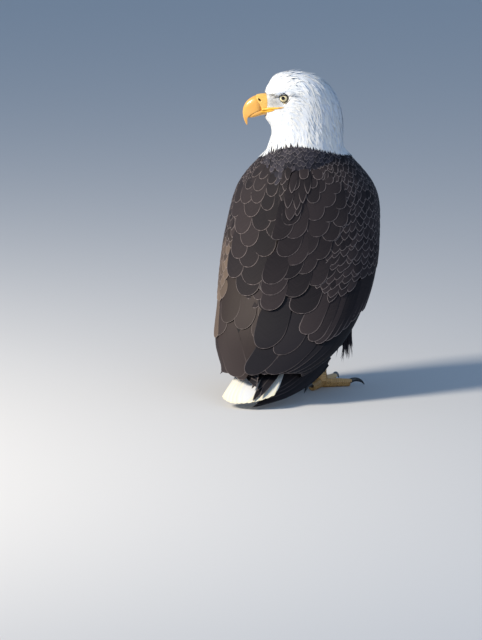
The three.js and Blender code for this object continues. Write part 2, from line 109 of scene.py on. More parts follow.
# %% [markdown]
# ## Smooth lines
# Spines and rails are drawn through a few places with a Catmull-Rom curve, the same kind that
# shaped the solids. Past its last point a line runs straight on, so a feather may reach over
# the end of a wing.
# %% Lines through a few points
def line_points(points, t):
    """Places at shares t along a smooth line through the points."""
    points = np.asarray(points, float)
    last = len(points) - 1
    points = np.vstack([2 * points[0] - points[1], points, 2 * points[-1] - points[-2]])
    t = np.atleast_1d(t).astype(float)
    inside = np.clip(t, 0, 1) * last
    i = np.minimum(inside.astype(int), last - 1)
    w = (inside - i)[:, None]
    a, b, c, d = (points[i + k] for k in range(4))
    spans = [np.maximum(((q - p) ** 2).sum(-1) ** 0.25, 1e-6)[:, None] for p, q in ((a, b), (b, c), (c, d))]
    before, here, after = spans
    leave = ((b - a) / before - (c - a) / (before + here) + (c - b) / here) * here
    arrive = ((c - b) / here - (d - b) / (here + after) + (d - c) / after) * here
    square, cube = 3 * (c - b) - 2 * leave - arrive, 2 * (b - c) + leave + arrive
    slope = leave + 2 * square * w + 3 * cube * w**2
    past = (t - np.clip(t, 0, 1))[:, None] * last
    return b + leave * w + square * w**2 + cube * w**3 + past * slope


# %% [markdown]
# ## The skin
# The flesh of the model comes in parts that meet with fine gaps. A voxel remesh of slightly
# swollen copies closes the gaps and gives one even skin. It is smoothed, kept as the outer form
# that the feathers lie on, and then drawn in by the depth of the plumage.
# %% Meshes in and out of arrays
def add_object(title, data):
    piece = bpy.data.objects.new(title, data)
    bpy.context.scene.collection.objects.link(piece)
    return piece


def from_bmesh(title, work):
    """A new object with a bmesh as its form."""
    mesh = bpy.data.meshes.new(title)
    work.to_mesh(mesh)
    work.free()
    return add_object(title, mesh)


def smooth_faces(work):
    bmesh.ops.recalc_face_normals(work, faces=work.faces)
    for face in work.faces:
        face.smooth = True


def read_all(items, name, width, kind=np.float32):
    """One property of all of a mesh's items, as rows of width numbers."""
    values = np.empty(len(items) * width, kind)
    items.foreach_get(name, values)
    return values.reshape(-1, width)


def write_all(items, name, values, kind=np.float32):
    items.foreach_set(name, np.asarray(values).astype(kind).ravel())


def set_attribute(mesh, name, values):
    write_all(mesh.attributes.new(name, "FLOAT", "POINT").data, "value", values)


def mesh_points(mesh):
    return read_all(mesh.vertices, "co", 3).astype(float)


def finish_modifiers(piece):
    """The piece's mesh as its modifiers make it, with none left live."""
    graph = bpy.context.evaluated_depsgraph_get()
    made = bpy.data.meshes.new_from_object(piece.evaluated_get(graph))
    piece.modifiers.clear()
    old, piece.data = piece.data, made
    made.name = old.name
    bpy.data.meshes.remove(old)
    return piece


# %% One mesh over the flesh
FLESH = ["trunk", "neck", "head", "tail_coverts"]
for side in SIDES:
    FLESH += [part + "_" + side for part in ("wing", "thigh", "tarsus")]
    FLESH += [f"toe_{toe}_{side}" for toe in ("hind", "inner", "middle", "outer")]
SWELL = 0.5 * MM
VOXEL = 2.2 * MM
SEWN = 0.01 * MM
FEET_TOP = 0.062
SMOOTHINGS = 6

work = bmesh.new()
for name in FLESH:
    work.from_mesh(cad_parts[name].data)
bmesh.ops.remove_doubles(work, verts=work.verts, dist=SEWN)
work.normal_update()
for vert in work.verts:
    vert.co += vert.normal * SWELL
skin = from_bmesh("skin", work)
voxels = skin.modifiers.new("voxels", "REMESH")
voxels.mode = "VOXEL"
voxels.voxel_size = VOXEL
finish_modifiers(skin)

work = bmesh.new()
work.from_mesh(skin.data)
above_feet = [v for v in work.verts if v.co.z > FEET_TOP]
for verts in [above_feet] * SMOOTHINGS + [work.verts]:
    bmesh.ops.smooth_vert(work, verts=verts, factor=0.5, use_axis_x=True, use_axis_y=True, use_axis_z=True)
work.to_mesh(skin.data)
work.free()
print("skin:", len(skin.data.polygons), "faces")


# %% Keep the outer form, then draw the skin in
class Form:
    """A surface that feathers are laid on: the nearest place to any point, and its normal."""

    def __init__(self, mesh):
        self.points = mesh_points(mesh)
        self.normals = read_all(mesh.vertices, "normal", 3).astype(float)
        self.faces = [tuple(p.vertices) for p in mesh.polygons]
        self.tree = BVHTree.FromPolygons(self.points.tolist(), self.faces)
        self.face_normals = unit(np.array([self.normals[list(f)].mean(0) for f in self.faces]))
        self.face_middles = np.array([self.points[list(f)].mean(0) for f in self.faces])

    def nearest(self, points):
        hits = [self.tree.find_nearest(point) for point in points]
        index = np.array([hit[2] for hit in hits])
        return np.array([hit[0] for hit in hits], float), self.face_normals[index], index


form = Form(skin.data)
BILL_BASE = (46.0, 0.0, -2.0)


def from_bill(points):
    """Distance in millimetres from the middle of the bill's base."""
    return np.linalg.norm(in_head(points) - BILL_BASE, axis=1)


def coat_depth(points):
    """How thick the plumage is over each place, in metres: thin on the face, none on the feet."""
    far = from_bill(points)
    depth = 0.7 + 0.8 * ramp(far, 28, 80) + 3.0 * ramp(far, 130, 190)
    return depth * ramp(points[:, 2], 0.058, 0.075) * MM


def forehead_hollow(points):
    """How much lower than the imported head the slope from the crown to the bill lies, in metres."""
    ahead, _, up = in_head(points).T
    return 4.0 * MM * np.exp(-((ahead - 46) ** 2 + (up - 36) ** 2) / 350)


inwards = coat_depth(form.points) + SWELL + forehead_hollow(form.points)
skin_points = form.points - form.normals * inwards[:, None]
write_all(skin.data.vertices, "co", skin_points)
skin.data.update()
print(f"skin drawn in by {inwards.min() / MM:.1f} to {inwards.max() / MM:.1f} mm")


# %% [markdown]
# ## Where white meets brown
# The adult's hood is white down to a ragged collar: high on the nape, lower at the throat.
# Skin and feathers ask the same rule for their colour.
# %% The collar
TURNED = (0.927, 0.375)


def above_collar(points):
    """Metres above the white hood's lower border round the neck."""
    around = unit((points - from_floor((0, 0, 0)))[:, :2])
    to_left = around @ np.array(TURNED)
    to_back = around @ np.array((-TURNED[1], TURNED[0]))
    return points[:, 2] - (430 + 2 * to_left + 25 * to_back) * MM


def rump_whiteness(points):
    """1 on the white coverts round the tail's root."""
    rump = ramp((points - from_floor((0, 96, 150))) @ unit((0, 0.75, -0.66)), -0.002, 0.004)
    return rump * (np.abs(points[:, 0] - floor_middle[0]) < 0.05) * (points[:, 1] > floor_middle[1] + 0.07)


def lores_and_brow_shade(points):
    """1 on the greyish lores between eye and bill, along the brow's lower edge, where it is painted shade
    under the bony ridge together with dark skin, and on a faint streak behind the eye.
    """
    ahead, side, up = in_head(points).T
    lores = np.exp(-((ahead - 39) ** 2 / 170 + (up - 5) ** 2 / 80))
    # the brow's line: painted shade under the ridge over the eye, together with dark skin
    brow = np.exp(-((up - 17.5 + 0.02 * (ahead - 20)) ** 2) / 5)
    brow *= ramp(ahead, 18, 30) * ramp(ahead, 56, 44)
    streak = np.exp(-((up - 18.5 + 0.1 * (ahead - 6)) ** 2) / 6)
    streak *= ramp(ahead, -16, 2) * ramp(ahead, 12, 6)
    return np.clip(0.8 * lores + 0.9 * brow + 0.4 * streak, 0, 1) * (np.abs(side) > 6)


hood = ramp(above_collar(form.points), 0.004, 0.009)
set_attribute(skin.data, "white", np.maximum(hood, rump_whiteness(form.points)))
set_attribute(skin.data, "bare", 1 - ramp(mesh_points(skin.data)[:, 2], 0.058, 0.066))
set_attribute(skin.data, "shade", lores_and_brow_shade(form.points))
print(f"white hood: {hood.mean():.2f} of the skin's points")

# %% [markdown]
# ## An unwrap of the skin
# Each feather takes its place on one map of the whole skin, so that its colours can be stored
# beside those of its neighbours. The skin's own unwrap is made once here.
# %% Unwrap the skin
skin.data.uv_layers.active = skin.data.uv_layers.new(name="SkinMap")
bpy.context.view_layer.objects.active = skin
skin.select_set(True)
bpy.ops.object.mode_set(mode="EDIT")
bpy.ops.mesh.select_all(action="SELECT")
bpy.ops.uv.smart_project(angle_limit=math.radians(66), island_margin=0.002)
bpy.ops.object.mode_set(mode="OBJECT")
skin.select_set(False)
corners = read_all(skin.data.uv_layers["SkinMap"].data, "uv", 2)
faces = skin.data.polygons
skin_map = np.array([corners[f.loop_start : f.loop_start + f.loop_total].mean(0) for f in faces])
print("skin map:", skin_map.shape[0], "places")


# %% [markdown]
# ## A feather's blade
# A feather is a vane: a spine of places along the body, a width at each, a crown across it and
# a real thickness. Thousands are made at once as arrays of numbers and joined in one mesh,
# because a separate object for each would be far too slow. Each vane carries its own map, with
# its shaft in the middle, and its tone and size, for the finish to read.
# %% Outlines of feathers
def outline_of(start, power, end, drawn, root, widest):
    """A feather's half width: narrowed at its root, full from widest to start, end at its tip."""

    def outline(t):
        tip = np.clip(1 - np.clip((t - start) / (1 - start), 0, 1) ** power, end, 1)
        return tip**drawn * (root + (1 - root) * ramp(t, 0, widest))

    return outline


rounded = outline_of(0.5, 2.2, 0.0006, 0.5, 0.45, 0.45)  # a broad body feather with a round end
pointed = outline_of(0.35, 1.5, 0.02, 0.85, 0.55, 0.35)  # a hackle, drawn to a point
ogival = outline_of(0.45, 2.0, 0.01, 0.7, 0.5, 0.4)  # a covert with a blunt point
strap = outline_of(0.8, 2.2, 0.0006, 0.5, 0.6, 0.5)  # a long feather with nearly even sides
blade = outline_of(0.5, 2.2, 0.01, 0.8, 0.6, 0.4)  # a primary, drawn in towards its end
wisp = outline_of(0.1, 1.1, 0.02, 1.0, 1.0, 1.0)  # a loose strand of down


def round_end(caps):
    """Even sides and an end drawn as half an oval, caps being each oval's share of the length."""
    caps = np.asarray(caps, float)[:, None]

    def outline(t):
        into = np.clip((t - 1 + caps) / caps, 0, 1)
        return np.sqrt(np.maximum(1 - into**2.1, 0.0005)) * (0.5 + 0.5 * ramp(t, 0, 0.45))

    return outline


def steps(rings):
    """Shares along a feather, closer together towards its tip."""
    return np.sin(np.linspace(0, 1, rings) * math.pi / 2)


# %% Many vanes in one mesh
TUFT_PATCH = 0.003  # how much of the skin's map a vane takes up
VANE_THICKNESS = 0.22 * MM


def vane_faces(rows, across):
    """The faces of one closed vane, whose rows hold the upper points and then the lower ones."""
    ring = 2 * across - 2
    over, under = list(range(across)), [0, *range(across, ring), across - 1]
    faces = []
    for c in range(across - 1):
        for j in range(rows - 1):
            for a, b in ((over[c], over[c + 1]), (under[c + 1], under[c])):
                faces.append([j * ring + a, j * ring + b, (j + 1) * ring + b, (j + 1) * ring + a])
        end = [over[c], under[c], under[c + 1], over[c + 1]]
        end = [corner for i, corner in enumerate(end) if corner != end[i - 1]]
        faces += [end, [(rows - 1) * ring + corner for corner in end[::-1]]]
    return faces


def vane_mesh(title, top, normals, half, tone, places, t, thick=VANE_THICKNESS, shade=0.0):
    """Closed thin vanes from grids of points (n, along, across, 3), their normals and half widths."""
    n, k, across = top.shape[:3]
    ring = 2 * across - 2
    inner = np.s_[:, :, 1:-1]
    under = top[inner] - normals[inner] * np.minimum(thick, half * 0.3)[:, :, None, None]
    verts = np.concatenate([top, under], axis=2).reshape(-1, 3)
    start = np.arange(n)[:, None, None] * (ring * k)
    faces = vane_faces(k, across)
    groups = [(np.array([f for f in faces if len(f) == size]) + start).reshape(-1, size) for size in (4, 3)]
    loops = np.concatenate([group.ravel() for group in groups])
    sizes = np.concatenate([np.full(len(group), group.shape[1]) for group in groups])
    mesh = bpy.data.meshes.new(title)
    mesh.vertices.add(len(verts))
    write_all(mesh.vertices, "co", verts)
    mesh.loops.add(len(loops))
    write_all(mesh.loops, "vertex_index", loops, np.int32)
    mesh.polygons.add(len(sizes))
    write_all(mesh.polygons, "loop_start", np.concatenate([[0], np.cumsum(sizes)[:-1]]), np.int32)
    mesh.update(calc_edges=True)
    write_all(mesh.polygons, "use_smooth", np.ones(len(sizes)), bool)
    row, column = np.divmod(read_all(mesh.edges, "vertices", 2, np.int32) % (ring * k), ring)
    rim = (column[:, 0] == column[:, 1]) & np.isin(column[:, 0], (0, across - 1))
    rim |= (row[:, 0] == row[:, 1]) & np.isin(row[:, 0], (0, k - 1))
    write_all(mesh.attributes.new("sharp_edge", "BOOLEAN", "EDGE").data, "value", rim, bool)
    s = np.linspace(0, 1, across)
    local = loops % (ring * k)
    vane_map = np.stack([np.concatenate([s, s[1:-1]])[local % ring], t[local // ring]], 1)
    patch = places[loops // (ring * k)] + (vane_map - 0.5) * TUFT_PATCH
    for name, uv in (("Vane", vane_map), ("OFBake", patch)):
        write_all(mesh.uv_layers.new(name=name).data, "uv", uv)
    mesh.uv_layers["OFBake"].active_render = True
    lengths = np.linalg.norm(np.diff(top[:, :, across // 2], axis=1), axis=2).sum(1)
    for name, values in (("tone", tone), ("shade", shade), ("length", lengths / MM)):
        set_attribute(mesh, name, np.repeat(np.broadcast_to(values, n), ring * k))
    set_attribute(mesh, "half_width", np.repeat(half.ravel(), ring) / MM)
    print(f"{title}: {n} vanes, {int((sizes - 2).sum())} triangles")
    return add_object(title, mesh)


# %% [markdown]
# ## Laying feathers on the skin
# Places are picked at random on the form, no two closer than the spacing asked for there. Each
# vane then creeps along the form from its root, a step at a time, in the way that the feathers
# lie. Its root is sunk and its tip is not, so every feather covers the roots of those below.
# %% Roots with an even spacing
TRIES = 3.0  # picks for each feather that there is room for
AROUND = [(x, y, z) for x in (-1, 0, 1) for y in (-1, 0, 1) for z in (-1, 0, 1)]


def even(millimetres):
    """The same spacing everywhere."""
    return lambda points: np.full(len(points), millimetres) * MM


def scatter(chosen, spacing):
    """Roots on the form's chosen faces, at least spacing(point) apart."""
    faces = np.flatnonzero(chosen)
    odds = 1 / spacing(form.face_middles[faces]) ** 2
    pick = chance.choice(faces, int(TRIES * (VOXEL**2 * odds).sum()), p=odds / odds.sum())
    corners = np.array([form.faces[i][:3] for i in pick])
    mix = chance.random((len(pick), 2))
    over = mix.sum(1) > 1
    mix[over] = 1 - mix[over]
    a, b, c = (form.points[corners[:, i]] for i in range(3))
    spots = a + (b - a) * mix[:, :1] + (c - a) * mix[:, 1:]
    gaps = spacing(spots)
    cells = np.floor(spots / gaps.max()).astype(int)
    grid, kept = {}, []
    for i, (x, y, z) in enumerate(cells.tolist()):
        near = [j for dx, dy, dz in AROUND for j in grid.get((x + dx, y + dy, z + dz), ())]
        if near and (((spots[near] - spots[i]) ** 2).sum(1) < gaps[i] ** 2).any():
            continue
        grid.setdefault((x, y, z), []).append(i)
        kept.append(i)
    return spots[kept]


# %% Vanes that creep along the form
def lay(title, roots, lengths, widths, flow, outline, rings, lift=None, crest=0.2, rise=0.45, **extra):
    """A coat piece of vanes from their roots. flow(points) is the way that feathers lie there."""
    relief = extra.pop("relief", None)
    count, across = len(roots), 3
    place, normal, face = form.nearest(roots)
    spines, normals = [place], [normal]
    drift = chance.normal(0, extra.pop("stray", 0.08), (count, 3))
    t = steps(rings)
    for step in np.diff(t):
        way = flow(place) + drift
        way = unit(way - (way * normal).sum(-1, keepdims=True) * normal)
        place, normal, _ = form.nearest(place + way * (lengths * step)[:, None])
        spines.append(place)
        normals.append(normal)
    spines, normals = np.stack(spines, 1), np.stack(normals, 1)
    lift = chance.random(count) * 0.5 * MM if lift is None else lift
    sunk = coat_depth(roots) + SWELL
    height = -sunk[:, None] * (1 - t**rise) + lift[:, None] * t**2
    if relief is not None:
        height += relief(spines.reshape(-1, 3)).reshape(height.shape)
    spines = spines + normals * height[..., None]
    along = unit(np.gradient(spines, axis=1))
    normals = unit(normals - (normals * along).sum(-1, keepdims=True) * along)
    half = (widths / 2)[:, None] * outline(t)
    s = np.linspace(-1, 1, across)
    across_way = np.cross(normals, along)[:, :, None] * (half[:, :, None] * s)[..., None]
    crown = normals[:, :, None] * (half[:, :, None] * crest * (1 - s**2))[..., None]
    top = spines[:, :, None] + across_way + crown
    normals = np.repeat(normals[:, :, None], across, axis=2)
    return vane_mesh(title, top, normals, half, chance.random(count), skin_map[face], t, **extra)


# %% [markdown]
# ## Which way feathers lie
# On the head they part at the bill and run back over crown and cheek, then turn down the neck.
# On the body they run down, and towards the tail behind the legs.
# %% The lie of the plumage
def head_flow(points):
    down = ramp(from_bill(points), 45, 115)[:, None]
    way = unit(in_head(points) - BILL_BASE) * (1 - down) + np.array((-0.15, 0, -1.0)) * down
    return way @ head_axes


def body_flow(points):
    low = ramp(points[:, 2], 0.26, 0.12) * ramp(points[:, 1] - floor_middle[1], 0.0, 0.06)
    return np.stack([0 * low, 0.9 * low, 0 * low - 1], 1)


# %% [markdown]
# ## The white hood
# Feathers are smallest at the bill and round the eye, a few millimetres long. They grow into
# long pointed hackles down the neck, whose tips make the ragged edge over the brown back. A few
# stand away from the rest, so the crown and nape have a rough outline.
# %% Head and neck feathers
EYE_CLEAR = 9.6
HOOD_EDGE = 0.012  # how far above the collar the lowest hackles grow
SMALL = 0.34  # up to this size, hood feathers are blunt ones


def off_eye_axis(points):
    """Millimetres from the eye's line, stretched above and behind, where feathers come closer."""
    ahead, side, up = in_head(points).T
    ahead, above = ahead - EYE_IN_HEAD[0], up - EYE_IN_HEAD[2]
    off = np.hypot(ahead * np.where(ahead < 0, 1.2, 1.0), above * np.where(above > 0, 1.3, 1.0))
    return off, ahead, np.abs(side)


def head_relief(points):
    """Metres that the hood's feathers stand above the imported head, or below it.

    They stand out on the bony ridge over each eye, which gives the frown.
    """
    ahead, side, up = in_head(points).T
    line = np.interp(ahead, (-8, 6, 16, 25, 36), (22.0, 25.5, 26.5, 24.0, 18.5))
    ridge = np.exp(-(((up - line) / 2.8) ** 2)) * ramp(ahead, -10, 8) * ramp(ahead, 44, 32)
    return 3.2 * MM * ridge * (np.abs(side) > 8) - forehead_hollow(points)


def hackle_size(points):
    """0 by the bill, 1 on the neck."""
    return ramp(from_bill(points), 8, 110)


def hood_piece(title, chosen, finest, growth, outline, rings):
    roots = scatter(chosen, lambda points: (finest + growth * hackle_size(points)) * MM)
    count, size = len(roots), hackle_size(roots)
    lengths = (5.5 + 31 * size) * (0.85 + 0.3 * chance.random(count)) * MM
    off_eye, ahead, side = off_eye_axis(roots)
    leads_to_eye = (ahead > 0) & (off_eye < 40) & (side > 12)
    room = np.maximum(off_eye - 8.2, 2.0) * MM
    lengths = np.where(leads_to_eye, np.minimum(lengths, room), lengths)
    above = above_collar(roots)
    lengths = np.where(size > 0.6, np.clip(lengths, 0.6 * above, 1.15 * above + 6 * MM), lengths)
    head_ahead_of, _, head_up_of = in_head(roots).T
    rear = ramp(head_ahead_of, 24, 0) * ramp(head_up_of, -45, 10)
    stands = (chance.random(count) < 0.3) * rear
    lift = (0.12 + 0.25 * size + 2.0 * stands) * chance.random(count) * MM
    lift += 1.0 * MM * ramp(above, 0.045, 0.02)
    return lay(
        title, roots, lengths, (2.7 + 4.2 * size) * MM, head_flow, outline, rings, lift, 0.1, 0.3,
        relief=head_relief, shade=lores_and_brow_shade(roots), stray=0.1, thick=0.15 * MM,
    )


middles = form.face_middles
off_eye, _, side_of_head = off_eye_axis(middles)
head_ahead_of, _, head_up_of = in_head(middles).T
on_hood = above_collar(middles) > HOOD_EDGE
hood_faces = on_hood & (head_ahead_of < 56) & ((off_eye > EYE_CLEAR) | (side_of_head < 14))
near_face = hackle_size(middles) < SMALL
hood_piece("face_feathers", hood_faces & near_face, 1.2, 2.0, ogival, 5)

rear_head = on_hood & (head_ahead_of < 24) & (head_up_of > -58)
rear_head &= (head_up_of > 36) | (head_ahead_of < -18)
roots = scatter(rear_head, even(7.0))
count = len(roots)
lay(
    "neck_hackles_raised", roots, chance.uniform(18, 28, count) * MM, chance.uniform(3.5, 5.5, count) * MM,
    head_flow, pointed, 6, chance.uniform(0.5, 4.6, count) * MM, 0.1, 0.3,
    relief=head_relief, stray=0.12, thick=0.15 * MM,
)
hood_piece("neck_hackles", hood_faces & ~near_face, 1.3, 2.1, pointed, 7)

# %% [markdown]
# ## The wings' own surface
# A folded wing is a curved sheet between three rails: along the back, down the side and down
# the leading edge. A place on it is a share of the way to the tip and a share across, and every
# tract of wing feathers is laid out in those two numbers.
# %% The wing sheets
WING_RAILS = {
    "inner": [
        (8, 36, 440), (6, 84, 376), (4, 102, 304), (4, 118, 236), (4, 142, 172), (6, 178, 114), (10, 246, 60),
    ],
    "middle": [
        (48, -8, 454), (118, 2, 374), (137, 16, 300), (140, 40, 232),
        (128, 86, 160), (106, 148, 102), (58, 232, 54),
    ],
    "outer": [
        (66, -60, 412), (110, -90, 340), (112, -72, 252), (107, -30, 172),
        (98, 34, 100), (84, 126, 56), (52, 224, 34),
    ],
}
LEFT_END = {"middle": (46, 230, 58), "outer": (75, 220, 52)}
SHOULDER_LIFT, WING_CROSSING, CROSSING_RISE = 12, 34, 15
NUDGE = 0.01  # a small share of a sheet, for measuring its slopes


def wing_rails(side):
    """The three rails of one wing. The right wing's inner feathers lie over the left wing."""
    rails = {name: np.array(points, float) for name, points in WING_RAILS.items()}
    step = np.arange(7)
    rails["inner"][:, 1] -= side * CROSSING_RISE * ramp(step, 1, 3) / 2
    if side == RIGHT:
        rails["inner"][:, 0] -= WING_CROSSING * ramp(step, 1.5, 4)
        for name in ("middle", "outer"):
            rails[name][:, 2] += SHOULDER_LIFT * np.maximum(0, 1 - step / 3)
    else:
        for name, end in LEFT_END.items():
            rails[name][6] = end
    return [rail * (side, 1, 1) for rail in rails.values()]


class Sheet:
    """A surface between two or three rails, at u along them and v across."""

    def __init__(self, rails, side):
        self.rails = [from_floor(rail) for rail in rails]
        self.side = side

    def place(self, u, v):
        u, v = np.broadcast_arrays(np.asarray(u, float), np.asarray(v, float))
        shape = u.shape
        u, v = u.ravel(), v.ravel()
        shares = [1 - v, v]
        if len(self.rails) == 3:
            shares = [(2 * v - 1) * (v - 1), 4 * v * (1 - v), v * (2 * v - 1)]
        place = sum(line_points(rail, u) * share[:, None] for rail, share in zip(self.rails, shares))
        return place.reshape(*shape, 3)

    def slopes(self, u, v):
        """The sheet's own directions there, in metres for each share along and across."""
        along = self.place(u + NUDGE, v) - self.place(u - NUDGE, v)
        over = self.place(u, v + NUDGE) - self.place(u, v - NUDGE)
        return along / (2 * NUDGE), over / (2 * NUDGE)

    def normal(self, u, v):
        return unit(np.cross(*self.slopes(u, v))) * -self.side


wings = {name: Sheet(wing_rails(side), side) for name, side in SIDES.items()}
print("wing tips at", {name: sheet.place([1.0], 0.5)[0].round(3).tolist() for name, sheet in wings.items()})

# %% [markdown]
# ## Laying feathers on a sheet
# A feather on a wing bends with the sheet in both directions, so its grid of points is taken
# from the sheet itself. As on the skin its root is sunk below the feathers that cover it.
# %% Vanes on a sheet
EDGE_ROOM = 0.02  # how far past a sheet's long edges vanes may reach, as a share across it
PAST_EDGE = 0.15  # how much is left of what would reach further


def sheet_vanes(title, sheet, u, v, lengths, widths, outline, top, deep=2.0, rings=9, across=5, **extra):
    """Vanes on a sheet that end at (u, v). Sizes are in millimetres.

    top and deep are how high their tips stand off the sheet and how deep their roots are sunk.
    tilt raises each vane's outer edge, so that the ones nearer the back lie over their neighbours.
    lean sets its root to one side, as a share of its length.
    """
    count, end = len(u), v[:, None]
    sizes = (lengths, widths, top, deep, extra.pop("tilt", 0.3))
    lengths, widths, top, deep, tilt = (np.broadcast_to(np.asarray(a, float), count) * MM for a in sizes)
    t = np.linspace(0, 1, rings) if outline is blade else steps(rings)
    speed = np.linalg.norm(sheet.slopes(u, v)[0], axis=-1)
    u = u[:, None] - (lengths / speed)[:, None] * (1 - t)
    reach = np.linalg.norm(sheet.slopes(u, end + 0 * u)[1], axis=-1)
    v = end - (extra.pop("lean", 0.0) * lengths)[:, None] * (1 - t) / reach
    half = (widths / 2)[:, None] * outline(t)
    s = np.linspace(-1, 1, across) * -sheet.side
    u = np.repeat(u[:, :, None], across, axis=2)
    v = v[:, :, None] + s * (half / reach)[:, :, None]
    inside = np.clip(v, -EDGE_ROOM, 1 + EDGE_ROOM)
    v = inside + PAST_EDGE * (v - inside)
    grid, normals = sheet.place(u, v), sheet.normal(np.minimum(u, 1.0), v)
    lift = chance.random(count) * 0.15 * MM
    height = -deep[:, None] * (1 - t**0.8) + (top + lift)[:, None]
    crown = np.minimum(half * 0.05, 0.25 * MM)[:, :, None] * (1 - s**2)
    tilted = tilt[:, None, None] * s * (half / half.max(1, keepdims=True))[:, :, None]
    grid = grid + normals * (height[:, :, None] + crown + tilted)[..., None]
    face = form.nearest(grid[:, 0, across // 2])[2]
    tone = extra.pop("tone") if "tone" in extra else chance.random(count)
    return vane_mesh(title, grid, normals, half, tone, skin_map[face], t, **extra)


# %% [markdown]
# ## Brown body feathers
# Mantle, breast, belly and thighs are clothed in overlapping rounded feathers, each with a thin
# pale edge. They are small on the neck and larger towards the belly. None are laid where the
# folded wings carry their own feathers.
# %% Where the wings cover the body
COVERED = 0.010  # this close to a wing's sheet, the body has no feathers of its own
COVERED_BEHIND = 0.035  # and this far behind the middle of it

u, v = np.meshgrid(np.linspace(0.13, 1, 60), np.linspace(0.0, 1, 40), indexing="ij")
wing_places = np.concatenate([sheet.place(u, v).reshape(-1, 3) for sheet in wings.values()])
wing_normals = np.concatenate([sheet.normal(u, v).reshape(-1, 3) for sheet in wings.values()])
inner_part = np.tile(((v > 0.04) & (v < 0.9) & (u > 0.45)).ravel(), 2)
wing_tree = KDTree(len(wing_places))
for i, point in enumerate(wing_places):
    wing_tree.insert(point, i)
wing_tree.balance()


def is_under_wing(point):
    """True where the folded wing covers the body: close to its sheet, or behind the middle of it."""
    _, i, gap = wing_tree.find(point)
    behind = (point - wing_places[i]) @ wing_normals[i] < -0.002
    return gap < COVERED or (gap < COVERED_BEHIND and behind and inner_part[i])


under_wing = np.array([is_under_wing(point) for point in middles])
print(f"under the wings: {under_wing.mean():.2f} of the form's faces")

# %% Body feathers
BODY_EDGE = 0.008  # how far above the collar the highest brown feathers grow
FEATHERS_FROM = 0.070  # the height where the legs' feathers begin
CHEST = 0.36  # the height where the mantle's small feathers give way to the breast's

brown = (above_collar(middles) < BODY_EDGE) & (middles[:, 2] > FEATHERS_FROM)
brown &= ~under_wing & (rump_whiteness(middles) < 0.5)
high = middles[:, 2] > CHEST


def mantle_spacing(points):
    return (5.2 + 5.5 * ramp(above_collar(points), 0.0, -0.09)) * MM


def body_piece(title, chosen, spacing, long, wide, outline):
    """Feathers long and wide as many times as they are apart."""
    roots = scatter(chosen, spacing)
    gap = spacing(roots)
    lengths = gap * long * (0.9 + 0.2 * chance.random(len(roots)))
    lift = 0.2 * chance.random(len(roots)) * MM
    lay(title, roots, lengths, gap * wide, body_flow, outline, 7, lift, 0.05, 0.3)


body_piece("mantle", brown & high, mantle_spacing, 2.6, 2.0, ogival)
body_piece("breast_and_belly", brown & ~high, even(10.5), 2.9, 1.7, rounded)

# %% [markdown]
# ## Trousers
# An eagle's thighs end in loose feathers that hang half way down the leg, the lowest of them
# thin and ragged.
# %% Loose feathers over the legs
THIGH_TOP = 0.125
on_thigh = (middles[:, 2] > FEATHERS_FROM) & (middles[:, 2] < THIGH_TOP)
on_thigh &= (middles[:, 1] < floor_middle[1] + 0.035) & (np.abs(middles[:, 0] - floor_middle[0]) > 0.02)
roots = scatter(on_thigh & ~under_wing, even(5.5))
count = len(roots)
fall = np.minimum(chance.uniform(28, 52, count) * MM, roots[:, 2] - chance.uniform(0.022, 0.045, count))
lay(
    "trousers", roots, np.maximum(fall, 0.018), chance.uniform(6, 10, count) * MM,
    body_flow, pointed, 7, chance.uniform(0.5, 3.5, count) * MM, stray=0.1,
)

# %% Ragged wisps below each thigh
WISPS, WISP_RINGS = 46, 10


def hanging(title, roots, falls, widths):
    """Thin strands that hang from their roots and drift a little."""
    count, t = len(roots), np.linspace(0, 1, WISP_RINGS)
    drift = chance.normal(0, 0.10, (count, 2)) * falls[:, None]
    top = np.repeat(roots[:, None], WISP_RINGS, axis=1)
    top[:, :, :2] += drift[:, None] * t[:, None] ** 1.6
    top[:, :, 2] -= falls[:, None] * t
    turned = chance.normal(0, 0.4, count)
    facing = unit(np.stack([turned, np.ones(count), np.zeros(count)], 1))
    side_way = np.cross(facing, UP)[:, None, None]
    half = (widths / 2)[:, None] * wisp(t)
    top = top[:, :, None] + side_way * (half[:, :, None] * np.array((-1.0, 0.0, 1.0)))[..., None]
    face = form.nearest(roots)[2]
    normals = np.broadcast_to(facing[:, None, None], top.shape)
    vane_mesh(title, top, normals, half, chance.random(count), skin_map[face], t)


for name, side in SIDES.items():
    far = chance.random(WISPS)
    roots = np.stack([side * (52 + 46 * far), -30 + 26 * chance.random(WISPS), 96 + 10 * far], 1)
    falls = (26 + 30 * chance.random(WISPS) * (0.5 + 0.5 * far)) * MM
    roots = form.nearest(from_floor(roots))[0]
    falls = np.minimum(falls, roots[:, 2] - 0.02)
    hanging("trouser_wisps_" + name, roots, falls, chance.uniform(1.6, 5, WISPS) * MM)

# %% [markdown]
# ## Feathers in rows on a wing
# The small coverts run in rows across the wing, each row's feathers half a step from those of
# the row before, like roof tiles.
# %% Tiled rows
OVERLAP = 0.85  # one feather's step along its row, as a share of its width
FIRST_ROW_REACH = 0.25  # metres across a wing, for the half step


def tiled_tips(sheet, u_range, v_range, width_at, exposed, end_at):
    """Tips (u, v) in staggered rows, as far apart as the feathers' widths ask, up to end_at(v)."""
    found = []
    u, row, middle = u_range[0], 0, sum(v_range) / 2
    while u < u_range[1]:
        v = v_range[0] + (row % 2) * 0.5 * OVERLAP * width_at(u, v_range[0]) * MM / FIRST_ROW_REACH
        while v < v_range[1]:
            share = width_at(u, v) * MM / np.linalg.norm(sheet.slopes(np.array(u), np.array(v))[1])
            if u < end_at(v):
                found.append((u + chance.normal(0, 0.007), v + chance.normal(0, 0.09) * share))
            v += OVERLAP * share
        along = np.linalg.norm(sheet.slopes(np.array(u), np.array(middle))[0])
        u += exposed * width_at(u, middle) * MM / along
        row += 1
    return np.array(found).T


